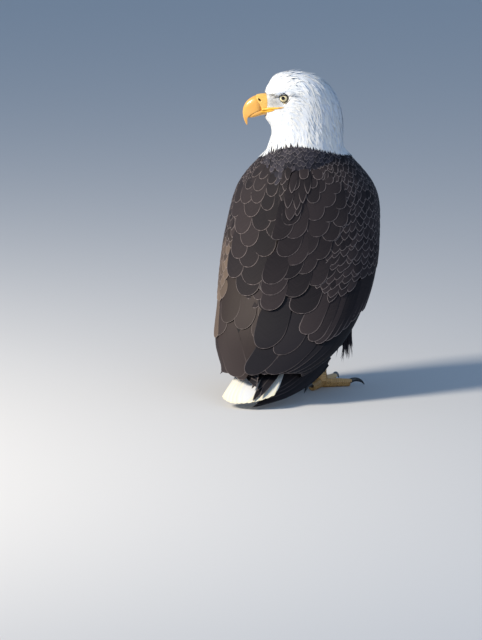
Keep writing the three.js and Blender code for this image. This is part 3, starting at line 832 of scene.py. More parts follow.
# %% Lesser and median coverts, and the feathers under the scapulars
COVERTS_END = {
    "right": ((0.0, 0.22, 0.3, 0.39, 0.47, 0.53, 0.7, 1.0), (0.5, 0.60, 0.66, 0.64, 0.58, 0.55, 0.47, 0.44)),
    "left": ((0.0, 0.3, 0.42, 0.55, 0.7, 1.0), (0.5, 0.55, 0.68, 0.66, 0.55, 0.45)),
}
INNER_EDGE = {"right": 0.20, "left": 0.30}
UNDER_FROM = {"right": 0.09, "left": 0.04}
UNDER_WIDTH = 24.0


def covert_width(u, v):
    """Feather width in millimetres on the outer part of a wing."""
    return np.interp(u, (0, 0.15, 0.35, 0.55, 0.7), (11, 13.5, 17, 19, 19)) - 4 * ramp(v, 0.42, 0.6)


for name, sheet in wings.items():
    ends, inner = COVERTS_END[name], INNER_EDGE[name]
    u, v = tiled_tips(sheet, (0.10, 0.75), (inner, 0.95), covert_width, 0.85, lambda v: np.interp(v, *ends))
    width = covert_width(u, v) * 1.25
    # tan on the left wing's coverts: partly fading of the feathers, partly painted light of the lit left side
    fade_and_painted_light = ramp(u, 0.38, 0.55) * ramp(v, 0.28, 0.38) * (name == "left") * chance.uniform(0.25, 1.0, len(u))
    varied = width * (0.85 + 0.3 * chance.random(len(u)))
    sheet_vanes("coverts_" + name, sheet, u, v, width * 1.9, varied, ogival, 0.2, 1.9, shade=fade_and_painted_light)
    across = (UNDER_FROM[name], inner + 0.05)
    u, v = tiled_tips(sheet, (0.12, 0.70), across, lambda u, v: UNDER_WIDTH, 0.9, lambda v: 1)
    sheet_vanes("under_scapulars_" + name, sheet, u, v, 50, 34, rounded, -2.0, rings=7, across=3)

# %% [markdown]
# ## Scapulars
# Beside the back lie the largest body feathers. Their order differs from bird to bird, so each
# is listed: where its tip lies on the wing's sheet, and how wide it is.
# %% Scapulars, as (share along, share across, width)
SCAPULARS = {
    "right": [
        (0.14, 0.09, 15), (0.15, 0.18, 17), (0.18, 0.14, 15), (0.18, 0.04, 16), (0.17, 0.24, 18),
        (0.21, 0.27, 23), (0.20, 0.18, 20), (0.24, 0.14, 22), (0.25, 0.06, 24), (0.26, 0.21, 34),
        (0.27, 0.29, 24), (0.31, 0.15, 31), (0.32, 0.22, 37), (0.32, 0.04, 31), (0.34, 0.29, 26),
        (0.38, 0.01, 37), (0.38, 0.07, 36), (0.38, 0.17, 37), (0.40, 0.24, 30), (0.46, 0.06, 38),
        (0.46, 0.13, 38), (0.48, 0.20, 34), (0.50, 0.10, 38), (0.54, 0.15, 36), (0.56, 0.09, 42),
        (0.58, 0.04, 40), (0.59, 0.22, 31), (0.63, 0.05, 42), (0.64, 0.14, 40), (0.70, 0.063, 38),
    ],
    "left": [
        (0.15, 0.17, 20), (0.16, 0.08, 20), (0.15, 0.26, 20), (0.20, 0.27, 24), (0.20, 0.17, 29),
        (0.21, 0.06, 26), (0.25, 0.16, 34), (0.26, 0.26, 38), (0.26, 0.37, 28), (0.27, 0.08, 32),
        (0.31, 0.19, 42), (0.32, 0.35, 34), (0.31, 0.05, 40), (0.36, 0.11, 46), (0.38, 0.02, 46),
        (0.39, 0.25, 42), (0.44, 0.18, 44), (0.47, 0.08, 52), (0.50, 0.25, 40), (0.53, 0.17, 46),
        (0.60, 0.13, 54), (0.65, 0.16, 52), (0.58, 0.27, 40), (0.62, 0.04, 46),
    ],
}
RISE_AT_BACK = {"right": 1.2, "left": -1.5}
# painted shade: the left scapulars near the back get only dark tones, for the shadowed cleft between the
# wings
PAINTED_SHADE_AT_BACK = {"right": 0.0, "left": 1.0}
for name, sheet in wings.items():
    u, v, width = np.array(SCAPULARS[name], float).T
    order = np.argsort(-u)
    u, v, width, length = u[order], v[order], width[order] * 1.15, width[order] * 1.3 + 24
    rise, deep = 0.9 + RISE_AT_BACK[name] * ramp(v, 0.25, 0.0), 1.7 + 3.3 * ramp(u, 0.25, 0.15)
    tone = chance.random(len(u)) * (1 - PAINTED_SHADE_AT_BACK[name] * ramp(v, 0.22, 0.08))
    end = round_end(0.55 * width / length)
    sheet_vanes("scapulars_" + name, sheet, u, v, length, width, end, rise, deep, 12, 7, tone=tone)

# %% The tuft at the middle of the back, as (share along, share across, width, rise)
BACK_TUFT = [
    (0.30, 0.035, 22, 3.7), (0.285, 0.065, 17, 3.3), (0.26, 0.06, 15, 3.1), (0.25, 0.02, 18, 2.9),
    (0.235, 0.085, 16, 3.0), (0.20, 0.11, 14, 2.6), (0.19, 0.03, 15, 2.6),
]
u, v, width, rise = np.array(BACK_TUFT).T
sheet_vanes("scapulars_of_the_back", wings["right"], u, v, 46, width, ogival, rise, 3.5, 10, 7)

# %% Small feathers between the two wings
BETWEEN = 9
spine = Sheet([wing_rails(side)[0] for side in (LEFT, RIGHT)], RIGHT)
u, v = np.linspace(0.32, 0.13, BETWEEN), np.where(np.arange(BETWEEN) % 2, 0.15, 0.85)
# painted shade: these feathers in the cleft between the wings get only the darker tones
tone = 0.4 * chance.random(BETWEEN)
sheet_vanes("scapulars_of_the_spine", spine, u, v, 44, 20, ogival, 0.4, 2.5, 10, tone=tone)

# %% [markdown]
# ## Greater coverts, tertials and secondaries
# Below the small coverts comes one row of long greater coverts, then the broad tertials beside
# the back and the secondaries of the folded wing, each row coming out from under the one above.
# %% The long feathers of each wing
GREATER_ROW = {
    "right": (0.203, 0.28, 0.355, 0.41, 0.455, 0.495, 0.535, 0.58, 0.63, 0.69, 0.75, 0.81, 0.87, 0.93),
    "left": (0.49, 0.55, 0.61, 0.67, 0.73, 0.79, 0.85, 0.91, 0.96),
}
GREATER_ENDS = {
    "right": (
        (0.203, 0.28, 0.39, 0.44, 0.49, 0.53, 0.62, 0.85, 1.0),
        (0.71, 0.80, 0.84, 0.82, 0.79, 0.75, 0.66, 0.58, 0.56),
    ),
    "left": ((0.24, 0.34, 0.45, 0.6, 0.85, 1.0), (0.74, 0.80, 0.84, 0.78, 0.66, 0.6)),
}
TERTIALS = {  # share along, share across, width, length, rise, in the order from the top
    "right": [
        (0.877, 0.09, 58, 150, -1.0), (0.90, 0.21, 48, 150, -1.8), (0.99, 0.30, 54, 190, -2.4),
        (1.0, 0.12, 50, 170, -2.6),
    ],
    "left": [
        (0.70, 0.0, 34, 110, -3.0), (0.76, 0.02, 40, 130, -3.0), (0.84, 0.03, 44, 140, -3.0),
        (0.77, 0.30, 50, 120, -0.6), (0.82, 0.42, 36, 120, -1.2), (0.80, 0.16, 50, 120, -1.4),
        (1.02, 0.31, 52, 190, -1.8), (1.0, 0.56, 44, 170, -2.3), (1.03, 0.10, 56, 170, -2.6),
    ],
}
SECONDARIES_END = {"right": (0.09, 1.5), "left": (0.02, 1.0)}
for name, sheet in wings.items():
    v = np.array(GREATER_ROW[name])
    u = np.interp(v, *GREATER_ENDS[name])
    width = np.interp(v, (0.2, 0.28, 0.36, 0.42, 1.0), (54, 37, 28, 21, 20))
    # the same tan on the left greater coverts: partly fading, partly painted light
    fade_and_painted_light = 0.5 * ramp(v, 0.75, 0.5) * (name == "left")
    sheet_vanes(
        "greater_coverts_" + name, sheet, u, v, 125, width, strap, -0.6, 1.6, 14, 7, tilt=0.7, shade=fade_and_painted_light
    )
    u, v, width, length, rise = np.array(TERTIALS[name], float).T
    # painted light: the left tertials are made paler tan, as if lit by the key on that side
    end, fade_and_painted_light = round_end(0.85 * width / length), 0.16 * (name == "left")
    sheet_vanes("tertials_" + name, sheet, u, v, length, width, end, rise, 1.5, 18, 7, shade=fade_and_painted_light)
    v = np.linspace(0.14, 0.95, 11)
    drawn_up, bent = SECONDARIES_END[name]
    u = 1.0 - drawn_up * v**bent
    sheet_vanes("secondaries_vanes_" + name, sheet, u, v, 220, 40, strap, -4.0, 1.0, 20, 7, tilt=1.4)

# %% Primaries
HAND_RAILS = {
    "left": (
        [(80, 84, 136), (42, 150, 110), (2, 205, 78), (-46, 256, 47)],
        [(98, 62, 100), (74, 142, 80), (26, 212, 56), (-30, 276, 35)],
    ),
    "right": (
        [(-96, 66, 130), (-68, 140, 96), (-30, 212, 42), (4, 280, 6)],
        [(-101, 34, 92), (-88, 120, 46), (-60, 208, 18), (-8, 294, 1.5)],
    ),
}
PRIMARIES = 7
u, v = np.linspace(0.77, 0.94, PRIMARIES), np.linspace(0.1, 0.92, PRIMARIES)
for name, side in SIDES.items():
    hand = Sheet(HAND_RAILS[name], side)
    sheet_vanes("primaries_vanes_" + name, hand, u, v, 215, 26, blade, 0.3, 1.5, 24, 7, tilt=0.5)

# %% [markdown]
# ## The tail
# Twelve broad white feathers in a fan, the middle pair on top, with white coverts over its root.
# %% The tail's fan
TAIL_LINE = np.array([(0, 84, 142), (0, 175, 72), (2, 282, 9)], float)
TAIL_HALF = (22, 52)
TAIL_ARCH, TAIL_ROLL, TAIL_ROUND = 9, 0.1, 0.13
TAIL_FEATHERS = 12


class TailSheet(Sheet):
    """The tail's fan, at u from root to tip and v across."""

    def __init__(self):
        self.side = RIGHT

    def place(self, u, v):
        u, v = np.broadcast_arrays(np.asarray(u, float), np.asarray(v, float))
        root, bend, tip = TAIL_LINE
        w = u[..., None]
        line = root * (1 - w) ** 2 + 2 * bend * w * (1 - w) + tip * w**2
        slope = unit(2 * (bend - root) * (1 - w) + 2 * (tip - bend) * w)
        normal = np.stack([0 * u, -slope[..., 2], slope[..., 1]], -1)
        across = 2 * v - 1
        half = TAIL_HALF[0] + (TAIL_HALF[1] - TAIL_HALF[0]) * np.maximum(u, 0) ** 0.8
        drop = TAIL_ARCH * (1 - 0.55 * u) * across**2
        place = line - normal * drop[..., None]
        place[..., 0] += half * across
        place[..., 2] -= TAIL_ROLL * u * half * across
        return from_floor(place)

    def normal(self, u, v):
        return unit(np.cross(*self.slopes(u, v)[::-1]))


tail_sheet = TailSheet()
print("tail's tip at", tail_sheet.place([1.0], 0.5)[0].round(3))

# %% Tail feathers, and white ones beside them, as (share along, share across, rise)
BESIDE_TAIL = [(0.84, 1.07, -3.0), (0.76, 1.17, -5.0), (0.80, -0.06, -4.0)]
v = (np.arange(TAIL_FEATHERS) + 0.5) / TAIL_FEATHERS
off_middle = np.abs(v - 0.5)
u, rise = 0.99 - TAIL_ROUND * (2 * off_middle) ** 2, 1.6 - 6 * off_middle
tail_feathers = sheet_vanes("tail_feathers", tail_sheet, u, v, 225, 33, strap, rise, rings=22, across=7)
u, v, rise = np.array(BESIDE_TAIL).T
sheet_vanes("tail_covert_sides", tail_sheet, u, v, 130, 27, strap, rise, 1.0, 14, 7)

# %% Worn dark tips that hang over the tail, as (share along, share across, length, width, rise)
WORN_TIPS = [
    (0.97, 0.30, 120, 17, 3.5), (0.93, 0.20, 115, 15, 5.0),
    (0.865, 0.29, 100, 15, 6.5), (0.85, 0.41, 95, 12, 7.5),
]
u, v, length, width, rise = np.array(WORN_TIPS).T
sheet_vanes("tertials_worn", tail_sheet, u, v, length, width, ogival, rise, 1.0, 20, 7, lean=0.12, tilt=0.5)


# %% Tail coverts
def tail_flow(points):
    return np.tile((0.0, 0.8, -0.58), (len(points), 1))


round_tail = (rump_whiteness(middles) > 0.3) & (middles[:, 2] > 0.02)
roots = scatter(round_tail, even(7.0))
lengths, widths = chance.uniform(30, 44, len(roots)) * MM, np.full(len(roots), 13) * MM
lay("tail_covert_feathers", roots, lengths, widths, tail_flow, ogival, 7, crest=0.15)

# %% [markdown]
# ## Horn, lids and claws
# Smooth hard parts are lofted: a circle of points for each section, bridged to the next one,
# closed at its ends and then subdivided. Only the sections need to be thought out.
# %% A form through sections
def loft(title, sections, levels=2):
    """A form bridged through sections of equally many points, in the frame's metres."""
    work = bmesh.new()
    rings = []
    for section in sections:
        made = bmesh.ops.create_circle(work, cap_ends=False, segments=len(section), radius=MM)["verts"]
        for vert, place in zip(made, section):
            vert.co = place
        rings.append(list(dict.fromkeys(edge for vert in made for edge in vert.link_edges)))
    for first, second in zip(rings, rings[1:]):
        bmesh.ops.bridge_loops(work, edges=first + second)
    for end in (rings[0], rings[-1]):
        bmesh.ops.contextual_create(work, geom=end)
    smooth_faces(work)
    piece = from_bmesh(title, work)
    rounding = piece.modifiers.new("rounding", "SUBSURF")
    rounding.levels = rounding.render_levels = levels
    print(f"{title}: {len(sections)} sections")
    return piece


def tube_sections(line, radii, count, sides=10, flat=1.0):
    """Round sections along a smooth line, radii blended along it. flat stretches them upwards."""
    t = np.linspace(0, 1, count)
    places = line_points(line, t)
    radii = np.interp(t, np.linspace(0, 1, len(radii)), radii) * MM
    along = unit(np.gradient(places, axis=0))
    side = unit(np.cross(along, UP))
    above = np.cross(side, along)
    turn = np.linspace(0, 2 * math.pi, sides, endpoint=False)
    ring = np.cos(turn)[:, None] * side[:, None] + flat * np.sin(turn)[:, None] * above[:, None]
    return places[:, None] + ring * radii[:, None, None]


# %% [markdown]
# ## The bill
# Each section of the upper bill runs from its ridge down one side to the cutting edge, in under
# the palate and back up. The sections fan out round the hook. The cere is a second, slightly
# larger form over its base, with a rounded front rim, and the nostril is pressed into it.
# %% Sections of the bill, as (ridge ahead, ridge up, edge ahead, edge up, half width)
BILL_SECTIONS = [
    (52, 19.5, 49, -6.5, 10.0), (58, 19.4, 55, -7.4, 10.0), (65, 19.2, 61, -9.8, 14.4),
    (72.5, 16.4, 67, -12.3, 13.2), (79.5, 12.2, 72.5, -15.0, 11.6), (85.3, 6.8, 77, -17.8, 9.8),
    (89.6, -0.4, 80.3, -20.4, 7.8), (92.0, -8.8, 82.4, -23.0, 5.8), (92.0, -17.0, 83.3, -26.0, 4.2),
    (90.2, -25.4, 83.2, -29.6, 2.8), (87.2, -32.4, 83.0, -33.4, 1.5), (84.6, -37.2, 83.2, -37.0, 0.5),
]
CERE_SECTIONS = [  # the same, and how much the section stands out beyond that
    (40, 20.5, 38, -5.6, 15.8, 0.3), (48, 21.0, 45, -6.4, 15.7, 0.6), (56, 20.8, 51.5, -7.2, 15.4, 0.7),
    (62.5, 19.9, 56, -8.2, 14.7, 0.7), (66.2, 19.0, 58.5, -9.0, 14.2, 0.6),
    (67.4, 18.6, 59.3, -9.2, 14.0, 0.35), (67.6, 18.4, 59.5, -9.2, 13.8, -0.4),
]
LOWER_SECTIONS = [  # ahead, top, bottom, half width
    (40, -4.8, -16.5, 14.8), (52, -6.6, -17.6, 14.6), (60, -8.8, -19.4, 13.9), (66.5, -11.4, -21.2, 12.4),
    (72.5, -14.2, -22.6, 10.4), (77, -17.0, -23.4, 8.0), (80.2, -19.4, -23.4, 5.0), (81.8, -20.8, -22.8, 1.6),
]
# One side of a section, as (share of the way down, share of the way out)
UPPER_SHAPE = [
    (0.0, 0.0), (0.03, 0.34), (0.11, 0.62), (0.28, 0.84), (0.52, 0.95), (0.78, 1.0),
    (0.93, 0.99), (1.0, 0.94), (0.96, 0.80), (0.88, 0.42), (0.86, 0.0),
]
LOWER_SHAPE = [
    (0.12, 0.0), (0.10, 0.72), (0.0, 0.92), (0.12, 1.0), (0.45, 1.0), (0.75, 0.88),
    (0.95, 0.6), (1.0, 0.28), (0.99, 0.0),
]
CERE_BEND = ((0, 0.3, 0.5, 0.7, 1.0), (0, 1.5, -1.5, -5.0, -4.0))


def bill_section(ridge_ahead, ridge_up, edge_ahead, edge_up, half, grow=0.0, bend=0.0, shape=UPPER_SHAPE):
    """One section of the bill as points of the frame."""
    points = []
    for side, half_shape in ((1, shape), (-1, shape[-2:0:-1])):
        for down, out in half_shape:
            ahead = ridge_ahead + (edge_ahead - ridge_ahead) * down
            ahead += bend * np.interp(down, *CERE_BEND) * (out > 0.3)
            up = ridge_up + (edge_up - ridge_up) * down
            points.append((ahead, side * out * (half + grow), up + grow * (1 - 2 * down)))
    return from_head(points)


bill_horn = loft("bill_horn", [bill_section(*values) for values in BILL_SECTIONS])
bends = np.linspace(0, 1, len(CERE_SECTIONS)) ** 2
cere_skin = loft("cere_skin", [bill_section(*values, bend) for values, bend in zip(CERE_SECTIONS, bends)], 3)
sections = []
for ahead, top, low, half in LOWER_SECTIONS:
    sections.append(bill_section(ahead, top, ahead, low, half, shape=LOWER_SHAPE))
lower_bill = loft("lower_bill", sections)

# %% The nostrils
NOSTRIL = (61.0, 10.6)
NOSTRIL_LONG = unit((0.76, 0.65))
NOSTRIL_HALF = (3.5, 1.6)
for piece in (cere_skin, bill_horn):
    points = mesh_points(finish_modifiers(piece).data)
    ahead, side, up = in_head(points).T
    off = np.stack([ahead - NOSTRIL[0], up - NOSTRIL[1]], 1)
    across = off @ np.array((-NOSTRIL_LONG[1], NOSTRIL_LONG[0]))
    oval = np.hypot(off @ NOSTRIL_LONG / NOSTRIL_HALF[0], across / NOSTRIL_HALF[1])
    pressed = 0.4 * np.exp(-((oval - 1.5) ** 2) / 0.12) - 3.8 * (1 - ramp(oval, 0.6, 1.1))
    on_side = np.abs(side) > 7
    points += (np.sign(side) * pressed * on_side)[:, None] * head_side * MM
    write_all(piece.data.vertices, "co", points)
    piece.data.update()
    set_attribute(piece.data, "nostril", (1 - ramp(oval, 0.75, 1.1)) * on_side)
    print(f"{piece.name}: {int((on_side & (oval < 1)).sum())} points pressed in for the nostrils")

# %% The fleshy corners of the mouth, as a line and radii along it
LIPS = {
    "upper": (
        [(58, 14.9, -7.0), (48, 20.4, -5.6), (37, 27.2, -3.6), (26, 32.6, -1.8), (15.5, 36.6, -0.6)],
        (2.4, 3.0, 2.5, 1.7, 0.35),
    ),
    "lower": (
        [(60, 13.6, -11.4), (53, 17.2, -10.2), (46, 21.0, -9.2), (39, 25.0, -8.0), (32, 28.6, -6.6)],
        (1.9, 2.4, 2.1, 1.4, 0.35),
    ),
}
lips = {}
for name, side in SIDES.items():
    for lip, (line, radii) in LIPS.items():
        line = from_head(np.array(line) * (1, side, 1))
        ground, normals, _ = form.nearest(line)
        line[1:] = ground[1:] + normals[1:] * 0.3 * MM
        lips[name, lip] = loft(f"gape_{lip}_{name}", tube_sections(line, radii, 9))

# %% [markdown]
# ## The eyes
# A ball with its pole towards the pupil gets rings of faces round it, so the iris has a clean
# edge. Its front bulges like a real cornea. The lids are lofted round it, and their outer rings
# are dropped onto the head's own form, so bare skin runs out under the feathers.
# %% Eyeballs
EYE_RADIUS, IRIS, PUPIL = 10.9, 7.1, 3.1
CORNEA, BULGE = 7.5, 0.07
BEHIND = 20.0  # the ring number of the ball's hidden half
eyes = {}


def eye_axes(side):
    """Directions at an eye: out through the pupil, ahead across the face, and up."""
    out = unit(head_side * side + 0.20 * head_ahead - 0.02 * UP)
    across = unit(head_ahead - (head_ahead @ out) * out)
    return out, across, np.cross(across, out) * side


for name, side in SIDES.items():
    out, across, above = eye_axes(side)
    work = bmesh.new()
    bmesh.ops.create_uvsphere(work, u_segments=48, v_segments=40, radius=EYE_RADIUS * MM)
    local = np.array([vert.co for vert in work.verts])
    reach = np.hypot(local[:, 0], local[:, 1]) / MM
    front = local[:, 2] > 0
    bulge = 1 + BULGE * (1 - (reach / CORNEA) ** 2) * (front & (reach < CORNEA))
    points = local @ np.array((across, above, out)) * bulge[:, None] + eye_middle[name]
    for vert, point in zip(work.verts, points):
        vert.co = point
    smooth_faces(work)
    eyes[name] = from_bmesh("eyeball_" + name, work)
    set_attribute(eyes[name].data, "ring", np.where(front, reach, BEHIND))
    print(f"eyeball_{name}: {len(points)} points")

# %% Lids and the bare skin round the eyes
LID_TURNS = np.linspace(0, 2 * math.pi, 40, endpoint=False)
# How far each ring lies beyond the lids' edge and stands off the ball. Further out, how far it has
# settled from the ball to the head, and how deep it is sunk there.
LID_RINGS = ((-0.5, -1.2), (-0.1, 0.25), (0.35, 0.8), (1.0, 0.75), (1.7, 0.2))
SKIN_RINGS = ((2.8, 0.5, 0.3), (4.2, 0.85, 0.3), (5.6, 1.0, 1.4), (7.0, 1.0, 3.0))
MISSED = 8.0  # the height where no ray meets the head
lid_cos, lid_sin = np.cos(LID_TURNS), np.sin(LID_TURNS)
lid_edge = 7.0 - 0.5 * lid_cos + 1.4 * np.maximum(lid_cos, 0) ** 6 - 2.3 * ramp(lid_sin, 0.15, 0.95)
ball = np.sqrt(EYE_RADIUS**2 - lid_edge**2)


def form_height(middle, out, ways, reach):
    """How far out the form lies from an eye's middle, at places round the eye's line."""
    heights = []
    for way, far in zip(ways, reach):
        start = middle + way * far * MM + out * 0.04
        hit = form.tree.ray_cast(Vector(start), Vector(-out))[0]
        heights.append(MISSED if hit is None else (np.array(hit) - middle) @ out / MM)
    return np.array(heights)


orbits = {}
for name, side in SIDES.items():
    out, across, above = eye_axes(side)
    ways = lid_cos[:, None] * across + lid_sin[:, None] * above
    rings = [(lid_edge + beyond, ball + off) for beyond, off in LID_RINGS]
    for beyond, settled, sunk in SKIN_RINGS:
        ground = form_height(eye_middle[name], out, ways, lid_edge + beyond) - sunk
        rings.append((lid_edge + beyond, (ball - 0.6) * (1 - settled) + ground * settled))
    reach, height = (np.array(values)[:, :, None] for values in zip(*rings))
    sections = eye_middle[name] + (ways * reach + out * height) * MM
    inmost = (sections[-1] + eye_middle[name]) / 2
    orbits[name] = finish_modifiers(loft("orbit_" + name, [*sections, inmost], levels=1))
    mesh = orbits[name].data
    local = (mesh_points(mesh) - eye_middle[name]) / MM
    ahead, up = local @ across, local @ above
    turn = np.arctan2(up, ahead)
    beyond = np.hypot(ahead, up) - np.interp(turn, LID_TURNS, lid_edge, period=2 * math.pi)
    set_attribute(mesh, "yellow", ramp(np.sin(turn), 0.0, -0.4) * ramp(np.cos(turn), -0.5, 0.1))
    # painted shade of the brow over the top of the eye and at its front corner, together with dark skin; near
    # the lids' edge the skin is dark all round
    brow_shade_and_dark_skin = ramp(np.sin(turn), 0.0, 0.6) + ramp(np.cos(turn), 0.75, 0.98)
    set_attribute(mesh, "dark", np.maximum(1 - ramp(beyond, 0.9, 2.0), 0.9 * np.minimum(brow_shade_and_dark_skin, 1)))

# %% [markdown]
# ## Feet
# The toes and the bare shank belong to the skin. Over them lie scutes, the horny plates of a
# bird's foot: bands that cross each toe's top and the shank's front, edge over edge. The claws
# are lofted along their curve.
# %% Scutes
TOES = {  # turn from straight ahead in degrees, length, thickness, length of the claw, first scute
    "middle": (-2, 76, 8.4, 28, 9.0),
    "outer": (52, 58, 8.0, 27, 9.0),
    "inner": (-23, 54, 8.8, 32, 9.0),
    "hind": (180, 44, 8.8, 36, 13.0),
}
TOE_SHARES = (0, 0.3, 0.55, 0.8, 1)
TOE_HIGH, TOE_WIDE = (1.25, 1.15, 0.95, 0.9, 0.85), (1.0, 0.9, 1.0, 0.85, 0.8)
SHANK_HEIGHTS = (9, 30, 60, 100)
SHANK_ASIDE, SHANK_BACK, SHANK_RADIUS = (0, 1, 8, 14), (0, 1, 5, 8), (14, 10.4, 10, 13)
FOOT_SPACING = 40
TOE_SCUTE, SHANK_SCUTE = 3.7, 4.2  # from one band to the next
SCUTE_ARC = np.radians(np.linspace(-78, 78, 9))
SCUTE_THICKNESS = 1.2 * MM


def scute_bands(title, middles, along, side, above, radii, half):
    """Bands over a limb: middles, directions and radius for each band."""
    s = np.array((-1.0, -0.4, 0.4, 1.0))
    normals = np.cos(SCUTE_ARC)[:, None] * above[:, None] + np.sin(SCUTE_ARC)[:, None] * side[:, None]
    arc = normals * radii[:, None, None]
    narrow = half * (1 - 0.35 * (np.abs(SCUTE_ARC) / SCUTE_ARC.max()) ** 3)
    height = (0.15 + 0.25 * (1 - s**2) + 0.12 * s)[:, None]
    top = middles[:, None, None] + arc[:, :, None] + normals[:, :, None] * height
    top = top + along[:, None, None] * (s * narrow[:, None])[None, :, :, None]
    grid = np.repeat(normals[:, :, None], len(s), axis=2)
    face = form.nearest(from_floor(middles))[2]
    halves = np.repeat(narrow[None] * MM, len(middles), axis=0)
    t = (SCUTE_ARC / SCUTE_ARC.max() + 1) / 2
    tone = chance.random(len(middles))
    vane_mesh(title, from_floor(top), grid, halves, tone, skin_map[face], t, SCUTE_THICKNESS)


# %% Claws, as (share of the claw's length, height in toe thicknesses)
CLAW_LINE = [(-0.14, 1.0), (0.1, 1.32), (0.35, 1.46), (0.6, 1.28), (0.82, 0.85)]
CLAW_RADII = (4.3, 4.2, 3.7, 3.0, 2.0, 0.45)
for name, side in SIDES.items():
    foot = np.array((FOOT_SPACING * side, 0, 0))
    bands = []
    for toe, (turn, length, thick, claw, first) in TOES.items():
        turn = math.radians(turn) * side
        ahead = np.array((math.sin(turn), -math.cos(turn), 0.0))
        across = np.array((-ahead[1], ahead[0], 0.0))
        for far in np.arange(first, length + 2.5, TOE_SCUTE):
            high = thick * np.interp(far / length, TOE_SHARES, TOE_HIGH)
            wide = thick * np.interp(far / length, TOE_SHARES, TOE_WIDE)
            bands.append((foot + UP * high + ahead * far, ahead, across, UP, wide))
        line = [(s, thick * up) for s, up in CLAW_LINE] + [(1.0, 1.0)]
        line = [foot + ahead * (length + s * claw) + UP * up for s, up in line]
        sections = tube_sections(from_floor(line), CLAW_RADII, 13, 12, 1.1)
        loft(f"talon_{toe}_{name}", sections)
    scute_bands("toe_scutes_" + name, *(np.array(values, float) for values in zip(*bands)), 2.0)
    high = np.arange(15.0, 62.0, SHANK_SCUTE)
    aside = np.interp(high, SHANK_HEIGHTS, SHANK_ASIDE)
    shank = np.stack([side * (FOOT_SPACING + aside), np.interp(high, SHANK_HEIGHTS, SHANK_BACK), high], 1)
    radius = np.interp(high, SHANK_HEIGHTS, SHANK_RADIUS)
    for label, way in (("front", -1.0), ("back", 1.0)):
        ways = (np.tile(row, (len(high), 1)) for row in (-UP, (1.0, 0, 0), (0, way, 0)))
        scute_bands(f"shank_scutes_{label}_{name}", shank, *ways, radius, 2.3)


# %% [markdown]
# ## How a feather is finished
# Up close a vane is fine barbs that slant from a shaft towards the edge. The adult's brown
# feathers are dark, with a narrow paler fringe near the tip. The group works this out from the
# vane's own map and size, and each plumage gives it its own colours.
# %% Small helpers for node trees
opened = []  # the helpers add to the tree that was opened last


def add(kind, inputs=(), **settings):
    """A new node with its settings made, its values set and its inputs joined."""
    node = opened[-1].nodes.new(kind)
    for key, value in settings.items():
        setattr(node, key, value)
    for key, value in dict(inputs).items():
        if isinstance(value, bpy.types.NodeSocket):
            opened[-1].links.new(value, node.inputs[key])
        else:
            node.inputs[key].default_value = value
    return node


def new_group(title, takes, gives):
    """Opens a new group. Returns it, what it is given, and a function that hands out a result."""
    group = bpy.data.node_groups.new(title, "ShaderNodeTree")
    for direction, sockets in (("INPUT", takes), ("OUTPUT", gives)):
        for name, kind in sockets.items():
            group.interface.new_socket(name, in_out=direction, socket_type="NodeSocket" + kind)
    opened.append(group)
    print(f"group {title}: from {', '.join(takes)} to {', '.join(gives)}")
    out = add("NodeGroupOutput").inputs
    return group, add("NodeGroupInput").outputs, lambda name, value: group.links.new(value, out[name])


def maths(operation, first, second=0.5, third=0.0, clamp=False):
    inputs = {0: first, 1: second, 2: third}
    return add("ShaderNodeMath", inputs, operation=operation, use_clamp=clamp).outputs[0]


def blend_colours(share, first, second, how="MIX"):
    first, second = ((*colour, 1) if isinstance(colour, tuple) else colour for colour in (first, second))
    inputs = {0: share, 6: first, 7: second}
    return add("ShaderNodeMix", inputs, data_type="RGBA", blend_type=how).outputs[2]


def between(value, start, end):
    """0 below start, 1 above end."""
    inputs = {0: value, 1: start, 2: end}
    return add("ShaderNodeMapRange", inputs, interpolation_type="SMOOTHSTEP").outputs[0]


def read_attribute(name):
    return add("ShaderNodeAttribute", attribute_name=name).outputs["Fac"]


def noise(place, scale, detail, **more):
    inputs = {"Vector": place, "Scale": scale, "Detail": detail, **more}
    return add("ShaderNodeTexNoise", inputs).outputs[0]


def object_place():
    return add("ShaderNodeTexCoord").outputs["Object"]


def across_vane():
    """0 on a vane's shaft, 1 at its edges, and the share along it."""
    vane_place = add("ShaderNodeUVMap", uv_map="Vane").outputs[0]
    parted = add("ShaderNodeSeparateXYZ", {0: vane_place}).outputs
    return maths("ABSOLUTE", maths("MULTIPLY_ADD", parted[0], 2, -1)), parted[1]


# %% The vane group
PLUMAGE_COLOURS = ("Dark", "Light", "Shaded", "Fringe", "Shaft")
takes = dict.fromkeys(PLUMAGE_COLOURS, "Color") | {"Fringe Width": "Float", "Fringe Strength": "Float"}
vane_group, given, give = new_group("feather vane", takes, {"Color": "Color", "Height": "Float"})
off_shaft, along = across_vane()
half_width, length, tone = (read_attribute(name) for name in ("half_width", "length", "tone"))
to_side = maths("MULTIPLY", maths("SUBTRACT", 1, off_shaft), half_width)
to_tip = maths("MULTIPLY", maths("SUBTRACT", 1, along), length)
edge_share = maths("DIVIDE", maths("MINIMUM", to_side, to_tip), given["Fringe Width"])
edge_mask = maths("SUBTRACT", 1, edge_share, clamp=True)
from_shaft = maths("MULTIPLY", off_shaft, half_width)
slant = maths("MULTIPLY", maths("MULTIPLY_ADD", from_shaft, -0.8, to_tip), 1.6)
barb_inputs = {0: slant, 1: maths("MULTIPLY", tone, 50), 2: maths("MULTIPLY", off_shaft, 0.6)}
barbs = noise(add("ShaderNodeCombineXYZ", barb_inputs).outputs[0], 1.0, 3.0, Roughness=0.6)
worn = maths("MULTIPLY_ADD", barbs, 1.2, 0.25, clamp=True)
rim = maths("MULTIPLY", maths("MULTIPLY", edge_mask, between(along, 0.45, 0.98)), worn)
